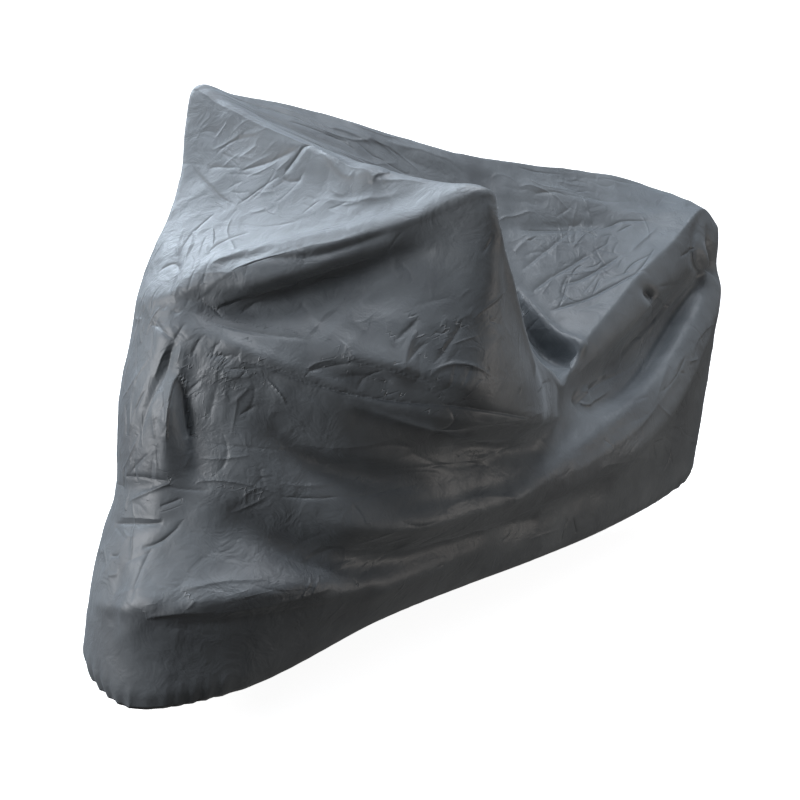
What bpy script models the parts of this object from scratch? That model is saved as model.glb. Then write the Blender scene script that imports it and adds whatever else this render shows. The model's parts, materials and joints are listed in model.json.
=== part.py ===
"""Fitted motorcycle cover, draped, as one thin hollow shell of cloth.

The cover hangs as if over a road motorcycle on its side stand with the steering turned to the left:
the right grip holds it up highest, the left grip is lower and further back, the saddle is a deep
hollow between the grips and the tail, and the elastic hem runs just above the ground.

Metres, +Z up, the machine's front towards -X and its left side towards -Y.
Heights in the tables are above the ground. The origin lies under the cloth over the saddle.
"""
from collections import namedtuple

import bpy
import bmesh
import numpy as np

# ---- driving dimensions -------------------------------------------------------------------
CLOTH_THICKNESS = 0.0020        # coated polyester with its backing, as a thin shell
ORIGIN_HEIGHT = 0.860           # the origin above the ground, inside the cover over the saddle
TOP_COLUMNS = 44                # cells from nose to tail
TOP_ROWS = 12                   # cells across the top
SKIRT_ROWS = 20                 # cells from shoulder to hem
CRISP_LINES = (5.0, 10.0, 15.0)     # lines of the top that a column of cells follows exactly
TAIL_SPAN = 2.0                 # length of the tail's edge, counted in lines of the top
NOSE_SPAN = 2.0                 # length of the nose's edge, counted in lines of the top
HEM_SHARE = 0.040               # share of the fall taken by the hem's band
HEM_TUCK = 0.015                # the elastic draws the hem in by this much
OUTWARD_PASSES = 12             # rounds of evening out the outward directions
FOLD_STEPS = 40                 # points along a fold's curve
SMALLEST_LENGTH = 1e-9          # keeps a division by a distance from failing
CLOTH_COLOUR = (0.075, 0.082, 0.088, 1.0)
CLOTH_ROUGHNESS = 0.55

# Sides of the cover, and the two axes in which each side's folds are drawn.
LEFT = "left"
RIGHT = "right"
FRONT = "front"
REAR = "rear"
TOP = "top"
SIDE_AXES = {LEFT: [0, 2], RIGHT: [0, 2], FRONT: [1, 2], REAR: [1, 2], TOP: [0, 1]}

# The shoulder is the edge between the top and the hanging skirt. Each line crosses the top from the
# shoulder's point on the left side to its point on the right side. Between them the cloth hangs
# below the straight line by its sag, and bends to the rear by its bow.
TopLine = namedtuple("TopLine", "name left right sag bow")
TOP_LINES = (
    TopLine("nose",         (-0.755, -0.030, 0.872), (-0.775, 0.165, 0.850), sag=-0.010, bow=-0.020),
    TopLine("low brow",     (-0.682, -0.098, 0.935), (-0.715, 0.225, 0.935), sag=-0.008, bow=-0.012),
    TopLine("mid brow",     (-0.591, -0.177, 0.972), (-0.650, 0.280, 1.020), sag=0.010, bow=-0.006),
    TopLine("high brow",    (-0.500, -0.255, 0.998), (-0.570, 0.335, 1.110), sag=0.025, bow=0.000),
    TopLine("under grip",   (-0.400, -0.345, 1.038), (-0.490, 0.390, 1.220), sag=0.035, bow=0.000),
    TopLine("grips",        (-0.306, -0.427, 1.092), (-0.437, 0.420, 1.298), sag=0.045, bow=0.000),
    TopLine("behind grip",  (-0.255, -0.408, 1.035), (-0.340, 0.402, 1.272), sag=0.055, bow=0.000),
    TopLine("grip fall",    (-0.195, -0.378, 0.950), (-0.230, 0.378, 1.254), sag=0.060, bow=0.000),
    TopLine("low fall",     (-0.110, -0.332, 0.838), (-0.110, 0.348, 1.222), sag=0.060, bow=0.000),
    TopLine("pocket front", (-0.025, -0.292, 0.715), (0.000, 0.314, 1.182), sag=0.060, bow=0.000),
    TopLine("pocket lip",   (0.125, -0.268, 0.595), (0.135, 0.282, 1.152), sag=0.070, bow=0.000),
    TopLine("saddle front", (0.260, -0.222, 0.668), (0.280, 0.250, 1.125), sag=0.070, bow=0.000),
    TopLine("saddle",       (0.400, -0.195, 0.735), (0.420, 0.215, 1.105), sag=0.060, bow=0.000),
    TopLine("saddle rear",  (0.565, -0.168, 0.818), (0.580, 0.185, 1.086), sag=0.045, bow=0.000),
    TopLine("rack",         (0.761, -0.138, 0.895), (0.780, 0.150, 1.058), sag=0.025, bow=0.000),
    TopLine("tail",         (0.925, -0.115, 0.972), (0.945, 0.112, 1.022), sag=0.000, bow=0.012),
    TopLine("tail end",     (1.010, -0.115, 0.915), (1.020, 0.100, 0.968), sag=-0.010, bow=0.028),
)

# The skirt hangs from the shoulder to the hem. Each fall is one place round the cover: the line of
# the top it hangs from, the share of the way across from left to right, the hem's point, and how
# far the cloth swells outwards at the waist and the knee, a third and two thirds of the way down.
Fall = namedtuple("Fall", "name line across hem waist knee")
SKIRT_FALLS = (
    Fall("nose left",    line=0, across=0.0, hem=(-1.012, -0.135, 0.083), waist=0.000, knee=0.020),
    Fall("brow left",    line=2, across=0.0, hem=(-0.840, -0.258, 0.094), waist=-0.010, knee=0.015),
    Fall("grip left",    line=5, across=0.0, hem=(-0.430, -0.245, 0.125), waist=0.060, knee=0.030),
    Fall("fall left",    line=8, across=0.0, hem=(-0.120, -0.225, 0.122), waist=0.060, knee=0.030),
    Fall("pocket left",  line=10, across=0.0, hem=(0.120, -0.220, 0.120), waist=0.020, knee=0.030),
    Fall("saddle left",  line=12, across=0.0, hem=(0.420, -0.205, 0.124), waist=0.040, knee=0.020),
    Fall("rack left",    line=14, across=0.0, hem=(0.760, -0.165, 0.128), waist=0.030, knee=0.010),
    Fall("tail left",    line=16, across=0.0, hem=(0.935, -0.115, 0.133), waist=0.020, knee=0.010),
    Fall("tail right",   line=16, across=1.0, hem=(0.940, 0.130, 0.135), waist=0.020, knee=0.010),
    Fall("rack right",   line=14, across=1.0, hem=(0.760, 0.200, 0.130), waist=0.040, knee=0.020),
    Fall("saddle right", line=12, across=1.0, hem=(0.420, 0.240, 0.125), waist=0.060, knee=0.030),
    Fall("pocket right", line=10, across=1.0, hem=(0.120, 0.250, 0.122), waist=0.060, knee=0.030),
    Fall("fall right",   line=8, across=1.0, hem=(-0.120, 0.255, 0.122), waist=0.020, knee=0.030),
    Fall("grip right",   line=5, across=1.0, hem=(-0.450, 0.250, 0.122), waist=-0.020, knee=0.020),
    Fall("brow right",   line=2, across=1.0, hem=(-0.870, 0.185, 0.110), waist=-0.010, knee=-0.010),
    Fall("nose right",   line=0, across=1.0, hem=(-1.008, 0.060, 0.105), waist=-0.005, knee=0.010),
)

# Each fold is a ridge (rises above nought) or a hollow (below) along a smooth curve through the
# start, middle and end of its side: x and z on the left and right, y and z at the front and rear,
# x and y on top. It has a rise at each of the three, and a width on its upper and lower side.
Fold = namedtuple("Fold", "name side start middle end rises widths")
MAIN_FOLDS = (
    Fold("brow hollow", LEFT, start=(-0.73, 0.86), middle=(-0.53, 0.91), end=(-0.38, 1.00),
         rises=(-0.025, -0.04, -0.015), widths=(0.045, 0.07)),
    Fold("panel edge", LEFT, start=(-0.60, 0.77), middle=(-0.40, 0.70), end=(0.01, 0.57),
         rises=(0.02, 0.038, 0.025), widths=(0.12, 0.055)),
    Fold("nose swag", LEFT, start=(-0.75, 0.80), middle=(-0.55, 0.65), end=(-0.07, 0.55),
         rises=(0.015, 0.028, 0.005), widths=(0.055, 0.065)),
    Fold("high swag hollow", LEFT, start=(-0.70, 0.69), middle=(-0.55, 0.53), end=(-0.28, 0.47),
         rises=(-0.015, -0.036, -0.02), widths=(0.06, 0.06)),
    Fold("waist hollow", LEFT, start=(-0.53, 0.62), middle=(-0.30, 0.52), end=(0.11, 0.49),
         rises=(-0.015, -0.036, -0.015), widths=(0.055, 0.055)),
    Fold("tail swag", LEFT, start=(0.95, 0.74), middle=(0.40, 0.40), end=(-0.56, 0.39),
         rises=(0.025, 0.065, 0.03), widths=(0.11, 0.06)),
    Fold("tail hollow", LEFT, start=(0.96, 0.80), middle=(0.56, 0.64), end=(0.12, 0.53),
         rises=(-0.03, -0.065, -0.035), widths=(0.055, 0.065)),
    Fold("knee hollow", LEFT, start=(-0.77, 0.43), middle=(-0.35, 0.32), end=(0.30, 0.30),
         rises=(-0.025, -0.045, -0.025), widths=(0.06, 0.06)),
    Fold("knee swag", LEFT, start=(-0.98, 0.27), middle=(-0.64, 0.28), end=(-0.16, 0.27),
         rises=(0.025, 0.045, 0.025), widths=(0.085, 0.055)),
    Fold("nose crease", FRONT, start=(0.00, 0.78), middle=(-0.06, 0.64), end=(-0.12, 0.50),
         rises=(0.01, 0.018, 0.005), widths=(0.05, 0.05)),
    Fold("nose hollow", FRONT, start=(-0.06, 0.72), middle=(-0.12, 0.58), end=(-0.15, 0.45),
         rises=(-0.015, -0.03, -0.01), widths=(0.05, 0.05)),
    Fold("saddle pocket", TOP, start=(0.05, -0.22), middle=(0.14, -0.19), end=(0.24, -0.15),
         rises=(-0.03, -0.08, -0.03), widths=(0.07, 0.05)),
    Fold("grip swag", RIGHT, start=(0.90, 0.80), middle=(0.20, 0.62), end=(-0.42, 0.86),
         rises=(0.01, 0.035, 0.015), widths=(0.10, 0.07)),
    Fold("right hollow", RIGHT, start=(0.95, 0.62), middle=(0.30, 0.46), end=(-0.50, 0.60),
         rises=(-0.01, -0.035, -0.015), widths=(0.06, 0.06)),
    Fold("right knee swag", RIGHT, start=(0.85, 0.38), middle=(0.10, 0.30), end=(-0.85, 0.36),
         rises=(0.01, 0.03, 0.015), widths=(0.08, 0.05)),
)


def smooth_between(marks, values, places):
    """Values at the given places, on smooth curves through values known at growing marks."""
    marks = np.asarray(marks, dtype=float)
    values = np.asarray(values, dtype=float)
    slopes = np.gradient(values, marks, axis=0)
    cell = np.clip(np.searchsorted(marks, places, side="right") - 1, 0, len(marks) - 2)
    width = (marks[cell + 1] - marks[cell])[:, None]
    share = (places - marks[cell])[:, None] / width
    start = values[cell]
    end = values[cell + 1]
    rise = end - start
    start_slope = slopes[cell] * width
    end_slope = slopes[cell + 1] * width
    bend = 3.0 * rise - 2.0 * start_slope - end_slope
    twist = start_slope + end_slope - 2.0 * rise
    return start + start_slope * share + bend * share ** 2 + twist * share ** 3


def top_edges(lines):
    """Left edge, right edge, sag and bow of the top at places counted in its lines."""
    marks = np.arange(len(TOP_LINES))
    rows = [(*row.left, *row.right, row.sag, row.bow) for row in TOP_LINES]
    values = smooth_between(marks, rows, lines)
    return values[:, 0:3], values[:, 3:6], values[:, 6:7], values[:, 7:8]


def even_lines(count):
    """Places along the top's lines, spaced evenly by the mean length of its two edges."""
    places = np.linspace(0.0, len(TOP_LINES) - 1.0, 500)
    left, right, _, _ = top_edges(places)
    steps = np.linalg.norm(np.diff(left, axis=0), axis=1) + np.linalg.norm(np.diff(right, axis=0), axis=1)
    travelled = np.concatenate(([0.0], np.cumsum(steps)))
    wanted = np.linspace(0.0, travelled[-1], count + 1)
    lines = np.interp(wanted, travelled, places)
    for crisp in CRISP_LINES:
        lines[np.argmin(np.abs(lines - crisp))] = crisp
    return lines


def top_grid(lines, rows):
    """The top's points, one row of them for each line, from left to right."""
    left, right, sag, bow = top_edges(lines)
    grid = []
    for row in range(rows + 1):
        across = row / rows
        belly = 4.0 * across * (1.0 - across)
        points = left + (right - left) * across
        points[:, 0:1] += bow * belly
        points[:, 2:3] -= sag * belly
        grid.append(points)
    return np.array(grid).transpose(1, 0, 2)


def ring_of_top(columns, rows):
    """The grid places of the top's edge in order: left side, tail, right side, nose."""
    ring = [(column, 0) for column in range(columns + 1)]
    ring += [(columns, row) for row in range(1, rows)]
    ring += [(column, rows) for column in range(columns, -1, -1)]
    ring += [(0, row) for row in range(rows - 1, 0, -1)]
    return ring


def ring_mark(line, across):
    """One number that grows round the shoulder, from the nose's left corner."""
    last = len(TOP_LINES) - 1.0
    if across <= 0.0:
        return line
    if across >= 1.0:
        return 2.0 * last + TAIL_SPAN - line
    if line > 0.5 * last:
        return last + TAIL_SPAN * across
    return 2.0 * last + TAIL_SPAN + NOSE_SPAN * (1.0 - across)


def fall_values(ring_places):
    """Hem point, waist swell and knee swell at places round the shoulder."""
    full_turn = 2.0 * (len(TOP_LINES) - 1.0) + TAIL_SPAN + NOSE_SPAN
    marks = [ring_mark(fall.line, fall.across) for fall in SKIRT_FALLS]
    values = [(*fall.hem, fall.waist, fall.knee) for fall in SKIRT_FALLS]
    marks = [mark - full_turn for mark in marks[-2:]] + marks + [mark + full_turn for mark in marks[:2]]
    values = values[-2:] + values + values[:2]
    found = smooth_between(marks, values, ring_places)
    return found[:, 0:3], found[:, 3:4], found[:, 4:5]


def outward_round(hem):
    """Level directions that point out of the hem's loop, evened out along it."""
    along = np.roll(hem, -1, axis=0) - np.roll(hem, 1, axis=0)
    outward = np.stack((along[:, 1], -along[:, 0], np.zeros(len(hem))), axis=1)
    for _ in range(OUTWARD_PASSES):
        outward = (np.roll(outward, 1, axis=0) + 2.0 * outward + np.roll(outward, -1, axis=0)) / 4.0
    return outward / np.linalg.norm(outward, axis=1, keepdims=True)


def fall_shares(rows):
    """Shares of the fall for the skirt's rows, the last one being the hem's own band."""
    shares = [row / (rows - 1) * (1.0 - HEM_SHARE) for row in range(1, rows)]
    return shares + [1.0]


def skirt_rows(shoulder, places, rows):
    """The skirt's points below the shoulder, one loop of them for each row."""
    hem, waist, knee = fall_values(places)
    outward = outward_round(hem)
    loops = []
    for share in fall_shares(rows):
        swell = 6.75 * share * (1.0 - share) * (waist * (1.0 - share) + knee * share)
        tuck = HEM_TUCK * max(0.0, share - (1.0 - HEM_SHARE)) / HEM_SHARE
        loops.append(shoulder + (hem - shoulder) * share + outward * (swell - tuck))
    return loops


def make_surface(columns, rows, skirt):
    """The cloth's outer face as a mesh of quads, open at the hem, before its folds."""
    lines = even_lines(columns)
    grid = top_grid(lines, rows)
    mesh = bmesh.new()
    top = [[mesh.verts.new(point) for point in line] for line in grid]
    for column in range(columns):
        for row in range(rows):
            corners = (top[column][row], top[column + 1][row])
            corners += (top[column + 1][row + 1], top[column][row + 1])
            mesh.faces.new(corners)
    ring = ring_of_top(columns, rows)
    places = np.array([ring_mark(lines[column], row / rows) for column, row in ring])
    shoulder = np.array([grid[column][row] for column, row in ring])
    above = [top[column][row] for column, row in ring]
    for loop in skirt_rows(shoulder, places, skirt):
        below = [mesh.verts.new(point) for point in loop]
        for index in range(len(ring)):
            following = (index + 1) % len(ring)
            mesh.faces.new((above[following], above[index], below[index], below[following]))
        above = below
    mesh.normal_update()
    return mesh


def fold_curve(start, middle, end):
    """Points along the smooth curve that passes through three points."""
    start = np.array(start)
    end = np.array(end)
    pull = 2.0 * np.array(middle) - 0.5 * (start + end)
    share = np.linspace(0.0, 1.0, FOLD_STEPS)[:, None]
    return start * (1.0 - share) ** 2 + 2.0 * pull * share * (1.0 - share) + end * share ** 2


def fold_rise(places, fold):
    """How far one fold lifts the cloth at the given places of its side."""
    curve = fold_curve(fold.start, fold.middle, fold.end)
    offsets = places[:, None, :] - curve[None, :, :]
    distances = np.linalg.norm(offsets, axis=2)
    nearest = np.argmin(distances, axis=1)
    along = nearest / (FOLD_STEPS - 1.0)
    rise = smooth_between([0.0, 0.5, 1.0], np.array(fold.rises)[:, None], along)[:, 0]
    picked = np.arange(len(places))
    distance = distances[picked, nearest]
    upward = 0.5 + 0.5 * offsets[picked, nearest, 1] / np.maximum(distance, SMALLEST_LENGTH)
    upper_width, lower_width = fold.widths
    width = lower_width + (upper_width - lower_width) * upward
    return rise * np.exp(-(distance / width) ** 2)


def smooth_step(values, low, high):
    """Nought below low, one above high, and a smooth rise between."""
    share = np.clip((values - low) / (high - low), 0.0, 1.0)
    return share * share * (3.0 - 2.0 * share)


def side_weights(normals):
    """How far each place belongs to each side of the cover, by where its face points."""
    return {
        LEFT: smooth_step(-normals[:, 1], 0.10, 0.45),
        RIGHT: smooth_step(normals[:, 1], 0.10, 0.45),
        FRONT: smooth_step(-normals[:, 0], 0.30, 0.70),
        REAR: smooth_step(normals[:, 0], 0.30, 0.70),
        TOP: smooth_step(normals[:, 2], 0.10, 0.45),
    }


def raise_folds(mesh):
    """Moves the surface's points in or out along their normals by the main folds."""
    points = np.array([vertex.co for vertex in mesh.verts])
    normals = np.array([vertex.normal for vertex in mesh.verts])
    weights = side_weights(normals)
    moves = np.zeros(len(points))
    for fold in MAIN_FOLDS:
        places = points[:, SIDE_AXES[fold.side]]
        moves += weights[fold.side] * fold_rise(places, fold)
    for vertex, move in zip(mesh.verts, moves):
        vertex.co += vertex.normal * float(move)
    mesh.normal_update()


def cloth_material():
    """Dark grey coated polyester: matt, with a faint sheen of its coating."""
    material = bpy.data.materials.new("coated_polyester")
    material.use_nodes = True
    shader = material.node_tree.nodes["Principled BSDF"]
    shader.inputs["Base Color"].default_value = CLOTH_COLOUR
    shader.inputs["Roughness"].default_value = CLOTH_ROUGHNESS
    shader.inputs["Metallic"].default_value = 0.0
    return material


def make_cover():
    """The cover: its folded outer face, moved to the origin's height and given its thickness."""
    surface = make_surface(TOP_COLUMNS, TOP_ROWS, SKIRT_ROWS)
    raise_folds(surface)
    bmesh.ops.triangulate(surface, faces=surface.faces, quad_method="SHORT_EDGE")
    bmesh.ops.translate(surface, verts=surface.verts, vec=(0.0, 0.0, -ORIGIN_HEIGHT))
    mesh = bpy.data.meshes.new("cover")
    surface.to_mesh(mesh)
    surface.free()
    mesh.shade_smooth()
    mesh.materials.append(cloth_material())
    cover = bpy.data.objects.new("cover", mesh)
    bpy.context.scene.collection.objects.link(cover)
    thickness = cover.modifiers.new("cloth thickness", "SOLIDIFY")
    thickness.thickness = CLOTH_THICKNESS
    thickness.offset = -1.0
    thickness.use_rim = True
    return cover


def clear_scene():
    """Removes whatever the scene holds."""
    for leftover in list(bpy.data.objects):
        bpy.data.objects.remove(leftover, do_unlink=True)


clear_scene()
make_cover()
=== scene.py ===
"""Fitted motorcycle cover: the finished cloth, its studio and its camera.

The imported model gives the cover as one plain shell. This script lays the real cloth over it: nearly the
same drape worked out on a finer net, with its creases, its drawn-in hem and a coated polyester finish.
Metres, +Z up, the machine's front towards -X and its left side towards -Y.
"""
import json
import logging
import math
from dataclasses import dataclass, field
from enum import Enum

import bpy
import numpy as np
from mathutils import Matrix, Vector, noise

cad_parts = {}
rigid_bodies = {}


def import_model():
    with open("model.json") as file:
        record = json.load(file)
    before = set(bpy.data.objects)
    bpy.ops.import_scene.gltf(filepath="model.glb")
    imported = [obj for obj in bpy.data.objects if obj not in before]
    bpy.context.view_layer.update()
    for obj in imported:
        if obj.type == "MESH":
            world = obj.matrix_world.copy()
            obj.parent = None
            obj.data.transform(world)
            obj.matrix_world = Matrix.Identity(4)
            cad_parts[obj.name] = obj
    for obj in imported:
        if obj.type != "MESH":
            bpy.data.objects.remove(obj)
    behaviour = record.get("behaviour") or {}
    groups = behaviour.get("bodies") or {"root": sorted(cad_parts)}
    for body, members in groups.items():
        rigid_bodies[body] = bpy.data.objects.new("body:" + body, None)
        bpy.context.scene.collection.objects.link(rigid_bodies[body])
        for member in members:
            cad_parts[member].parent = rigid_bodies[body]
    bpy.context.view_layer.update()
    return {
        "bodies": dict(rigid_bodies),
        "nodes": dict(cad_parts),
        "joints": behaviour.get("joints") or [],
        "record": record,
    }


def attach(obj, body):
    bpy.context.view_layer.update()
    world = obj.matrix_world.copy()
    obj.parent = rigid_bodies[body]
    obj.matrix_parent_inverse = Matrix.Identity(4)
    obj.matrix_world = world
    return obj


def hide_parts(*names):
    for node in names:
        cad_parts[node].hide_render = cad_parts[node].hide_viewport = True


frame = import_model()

LOG = logging.getLogger("motorcycle cover")
SMALLEST_LENGTH = 1e-9
# The distance between the points of a fold's or a crease's curve in metres, and the fewest it has.
CURVE_STEP = 0.012
FEWEST_POINTS = 8
# One over the most that share * (1 - share) squared comes to, so that a swell is as big as its number says.
SWELL_PEAK = 6.75
# How many of its widths a fold and a crease reach to either side, and how many creases may lie on one place.
FOLD_REACH = 3.2
CREASE_REACH = 5.0
CREASE_LAYERS = 6
# How many times its reach a crease's distances are kept for, so that they still grow past its edge.
CREASE_MARGIN = 1.6
CRUMPLE_SEED = 5
# The wave texture's period at a scale of 1, in metres.
WAVE_PERIOD = 0.314


class Side(Enum):
    """A side of the cover.

    Each holds its name, the two axes its folds are drawn in, the axis and the way it faces, and how
    squarely cloth must face that way to belong to it at all and to belong to it wholly.
    """

    LEFT = ("left", (0, 2), 1, -1.0, 0.10, 0.45)
    RIGHT = ("right", (0, 2), 1, 1.0, 0.10, 0.45)
    FRONT = ("front", (1, 2), 0, -1.0, 0.30, 0.70)
    REAR = ("rear", (1, 2), 0, 1.0, 0.30, 0.70)
    TOP = ("top", (0, 1), 2, 1.0, 0.10, 0.45)

    @property
    def axes(self) -> list[int]:
        """The two axes in which this side's folds are drawn."""
        return list(self.value[1])

    def share(self, normals: np.ndarray) -> np.ndarray:
        """How far each place belongs to this side.

        Args:
            normals: One outward direction for each place.

        Returns:
            A share from 0 to 1 for each place.
        """
        _, _, axis, way, low, high = self.value
        return smooth_step(way * normals[:, axis], low, high)


def smooth_step(values: np.ndarray, low: float, high: float) -> np.ndarray:
    """Rises smoothly from 0 to 1.

    Args:
        values: Where to read the step.
        low: The value below which the step is 0.
        high: The value above which the step is 1.

    Returns:
        The step at each value.
    """
    share = np.clip((values - low) / (high - low), 0.0, 1.0)
    return share * share * (3.0 - 2.0 * share)


def smooth_between(marks: np.ndarray, values: np.ndarray, places: np.ndarray) -> np.ndarray:
    """Reads smooth curves through values that are known at growing marks.

    Args:
        marks: Growing numbers at which the values are known.
        values: One row of values for each mark.
        places: Where to read the curves.

    Returns:
        One row of values for each place.
    """
    marks = np.asarray(marks, dtype=float)
    values = np.asarray(values, dtype=float)
    slopes = np.gradient(values, marks, axis=0)
    cell = np.clip(np.searchsorted(marks, places, side="right") - 1, 0, len(marks) - 2)
    width = (marks[cell + 1] - marks[cell])[:, None]
    share = (places - marks[cell])[:, None] / width
    start = values[cell]
    rise = values[cell + 1] - start
    start_slope = slopes[cell] * width
    end_slope = slopes[cell + 1] * width
    bend = 3.0 * rise - 2.0 * start_slope - end_slope
    twist = start_slope + end_slope - 2.0 * rise
    return start + start_slope * share + bend * share ** 2 + twist * share ** 3


def curve_through(start: tuple[float, float], middle: tuple[float, float],
                  end: tuple[float, float]) -> np.ndarray:
    """Points along a smooth curve through three places, one for about every centimetre.

    Args:
        start: Where the curve starts.
        middle: A place halfway along it.
        end: Where it ends.

    Returns:
        The points, in the curve's two axes.
    """
    first = np.array(start)
    last = np.array(end)
    half = np.array(middle)
    length = float(np.linalg.norm(half - first) + np.linalg.norm(last - half))
    pull = 2.0 * half - 0.5 * (first + last)
    share = np.linspace(0.0, 1.0, max(FEWEST_POINTS, round(length / CURVE_STEP)))[:, None]
    return first * (1.0 - share) ** 2 + 2.0 * pull * share * (1.0 - share) + last * share ** 2


def nearest_on(places: np.ndarray, curve: np.ndarray) -> tuple[np.ndarray, np.ndarray, np.ndarray]:
    """The nearest point of a curve to each place.

    Args:
        places: The places, in the curve's two axes.
        curve: The curve's points.

    Returns:
        The offset from the curve, the share along it and the distance for each place.
    """
    squares = (places ** 2).sum(axis=1)[:, None] - 2.0 * places @ curve.T + (curve ** 2).sum(axis=1)[None, :]
    index = np.argmin(squares, axis=1)
    ways = np.gradient(curve, axis=0)
    pitches = np.linalg.norm(ways, axis=1)
    ways /= pitches[:, None]
    offset = places - curve[index]
    slide = np.clip((offset * ways[index]).sum(axis=1), -0.5 * pitches[index], 0.5 * pitches[index])
    offset = offset - ways[index] * slide[:, None]
    along = np.clip((index + slide / pitches[index]) / (len(curve) - 1.0), 0.0, 1.0)
    return offset, along, np.linalg.norm(offset, axis=1)


@dataclass(frozen=True)
class TopLine:
    """One line across the top, from the left shoulder to the right one, heights above the ground.

    The sag is how far its middle hangs down, and the bow how far its middle lies towards the tail.
    """

    name: str
    left: tuple[float, float, float]
    right: tuple[float, float, float]
    sag: float
    bow: float


@dataclass(frozen=True)
class Fall:
    """One place round the cover where the skirt falls from the shoulder to the hem.

    The shoulder's place is counted in top lines, and across from 0 at the left to 1 at the right. The
    waist and the knee are how far the skirt swells out a third and two thirds of the way down.
    """

    name: str
    line: float
    across: float
    hem: tuple[float, float, float]
    waist: float
    knee: float


@dataclass(frozen=True)
class Fold:
    """A ridge or a hollow along a smooth curve through three points of one side of the cover.

    The rises hold for its start, middle and end, and the widths for what lies above and below the
    curve. The peak is 2 for a round back and nearer 1 for a pinched one.
    """

    name: str
    side: Side
    start: tuple[float, float]
    middle: tuple[float, float]
    end: tuple[float, float]
    rises: tuple[float, float, float]
    widths: tuple[float, float]
    peak: float = 2.0

    def lift(self, points: np.ndarray, normals: np.ndarray) -> np.ndarray:
        """How far the fold moves each place outwards.

        Args:
            points: The places, heights above the ground.
            normals: The cloth's outward direction at each place.

        Returns:
            A distance for each place.
        """
        places = points[:, self.side.axes]
        curve = curve_through(self.start, self.middle, self.end)
        reach = FOLD_REACH * max(self.widths)
        low = curve.min(axis=0) - reach
        high = curve.max(axis=0) + reach
        near = np.flatnonzero(np.all((places > low) & (places < high), axis=1))
        lifts = np.zeros(len(points))
        near = near[self.side.share(normals[near]) > 0.0]
        if len(near) == 0:
            return lifts
        offset, along, distance = nearest_on(places[near], curve)
        rise = smooth_between([0.0, 0.5, 1.0], np.array(self.rises)[:, None], along)[:, 0]
        upward = 0.5 + 0.5 * offset[:, 1] / np.maximum(distance, SMALLEST_LENGTH)
        upper, lower = self.widths
        width = lower + (upper - lower) * upward
        lifts[near] = self.side.share(normals[near]) * rise * np.exp(-(distance / width) ** self.peak)
        return lifts


# The drape, near the shell's own: its top lines lie up to 3.6 cm from the shell's and its hem up to 3.2 cm,
# the tail hollow and the saddle pocket are shallower, and the nose waist and the nose brim are added.
TOP_LINES = (
    TopLine("nose",         (-0.755, -0.030, 0.872), (-0.775, 0.165, 0.850), sag=-0.010, bow=-0.020),
    TopLine("low brow",     (-0.682, -0.098, 0.935), (-0.706, 0.217, 0.935), sag=-0.008, bow=-0.012),
    TopLine("mid brow",     (-0.591, -0.177, 0.972), (-0.626, 0.258, 1.020), sag=0.010, bow=-0.006),
    TopLine("high brow",    (-0.500, -0.255, 0.998), (-0.552, 0.319, 1.110), sag=0.025, bow=0.000),
    TopLine("under grip",   (-0.400, -0.345, 1.038), (-0.490, 0.390, 1.220), sag=0.035, bow=0.000),
    TopLine("grips",        (-0.306, -0.427, 1.092), (-0.437, 0.420, 1.312), sag=0.045, bow=0.000),
    TopLine("behind grip",  (-0.255, -0.408, 1.035), (-0.340, 0.402, 1.292), sag=0.055, bow=0.000),
    TopLine("grip fall",    (-0.195, -0.378, 0.950), (-0.230, 0.378, 1.275), sag=0.060, bow=0.000),
    TopLine("low fall",     (-0.110, -0.332, 0.838), (-0.110, 0.348, 1.248), sag=0.060, bow=0.000),
    TopLine("pocket front", (-0.025, -0.292, 0.715), (0.000, 0.314, 1.218), sag=0.060, bow=0.000),
    TopLine("pocket lip",   (0.125, -0.268, 0.595), (0.135, 0.282, 1.180), sag=0.070, bow=0.000),
    TopLine("saddle front", (0.260, -0.222, 0.668), (0.280, 0.250, 1.143), sag=0.070, bow=0.000),
    TopLine("saddle",       (0.400, -0.195, 0.735), (0.420, 0.215, 1.118), sag=0.060, bow=0.000),
    TopLine("saddle rear",  (0.565, -0.168, 0.818), (0.580, 0.185, 1.098), sag=0.045, bow=0.000),
    TopLine("rack",         (0.761, -0.138, 0.895), (0.780, 0.150, 1.072), sag=0.025, bow=0.000),
    TopLine("tail",         (0.925, -0.115, 0.972), (0.945, 0.112, 1.032), sag=0.000, bow=0.012),
    TopLine("tail end",     (1.010, -0.115, 0.915), (1.020, 0.100, 0.978), sag=-0.010, bow=0.028),
)

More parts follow.
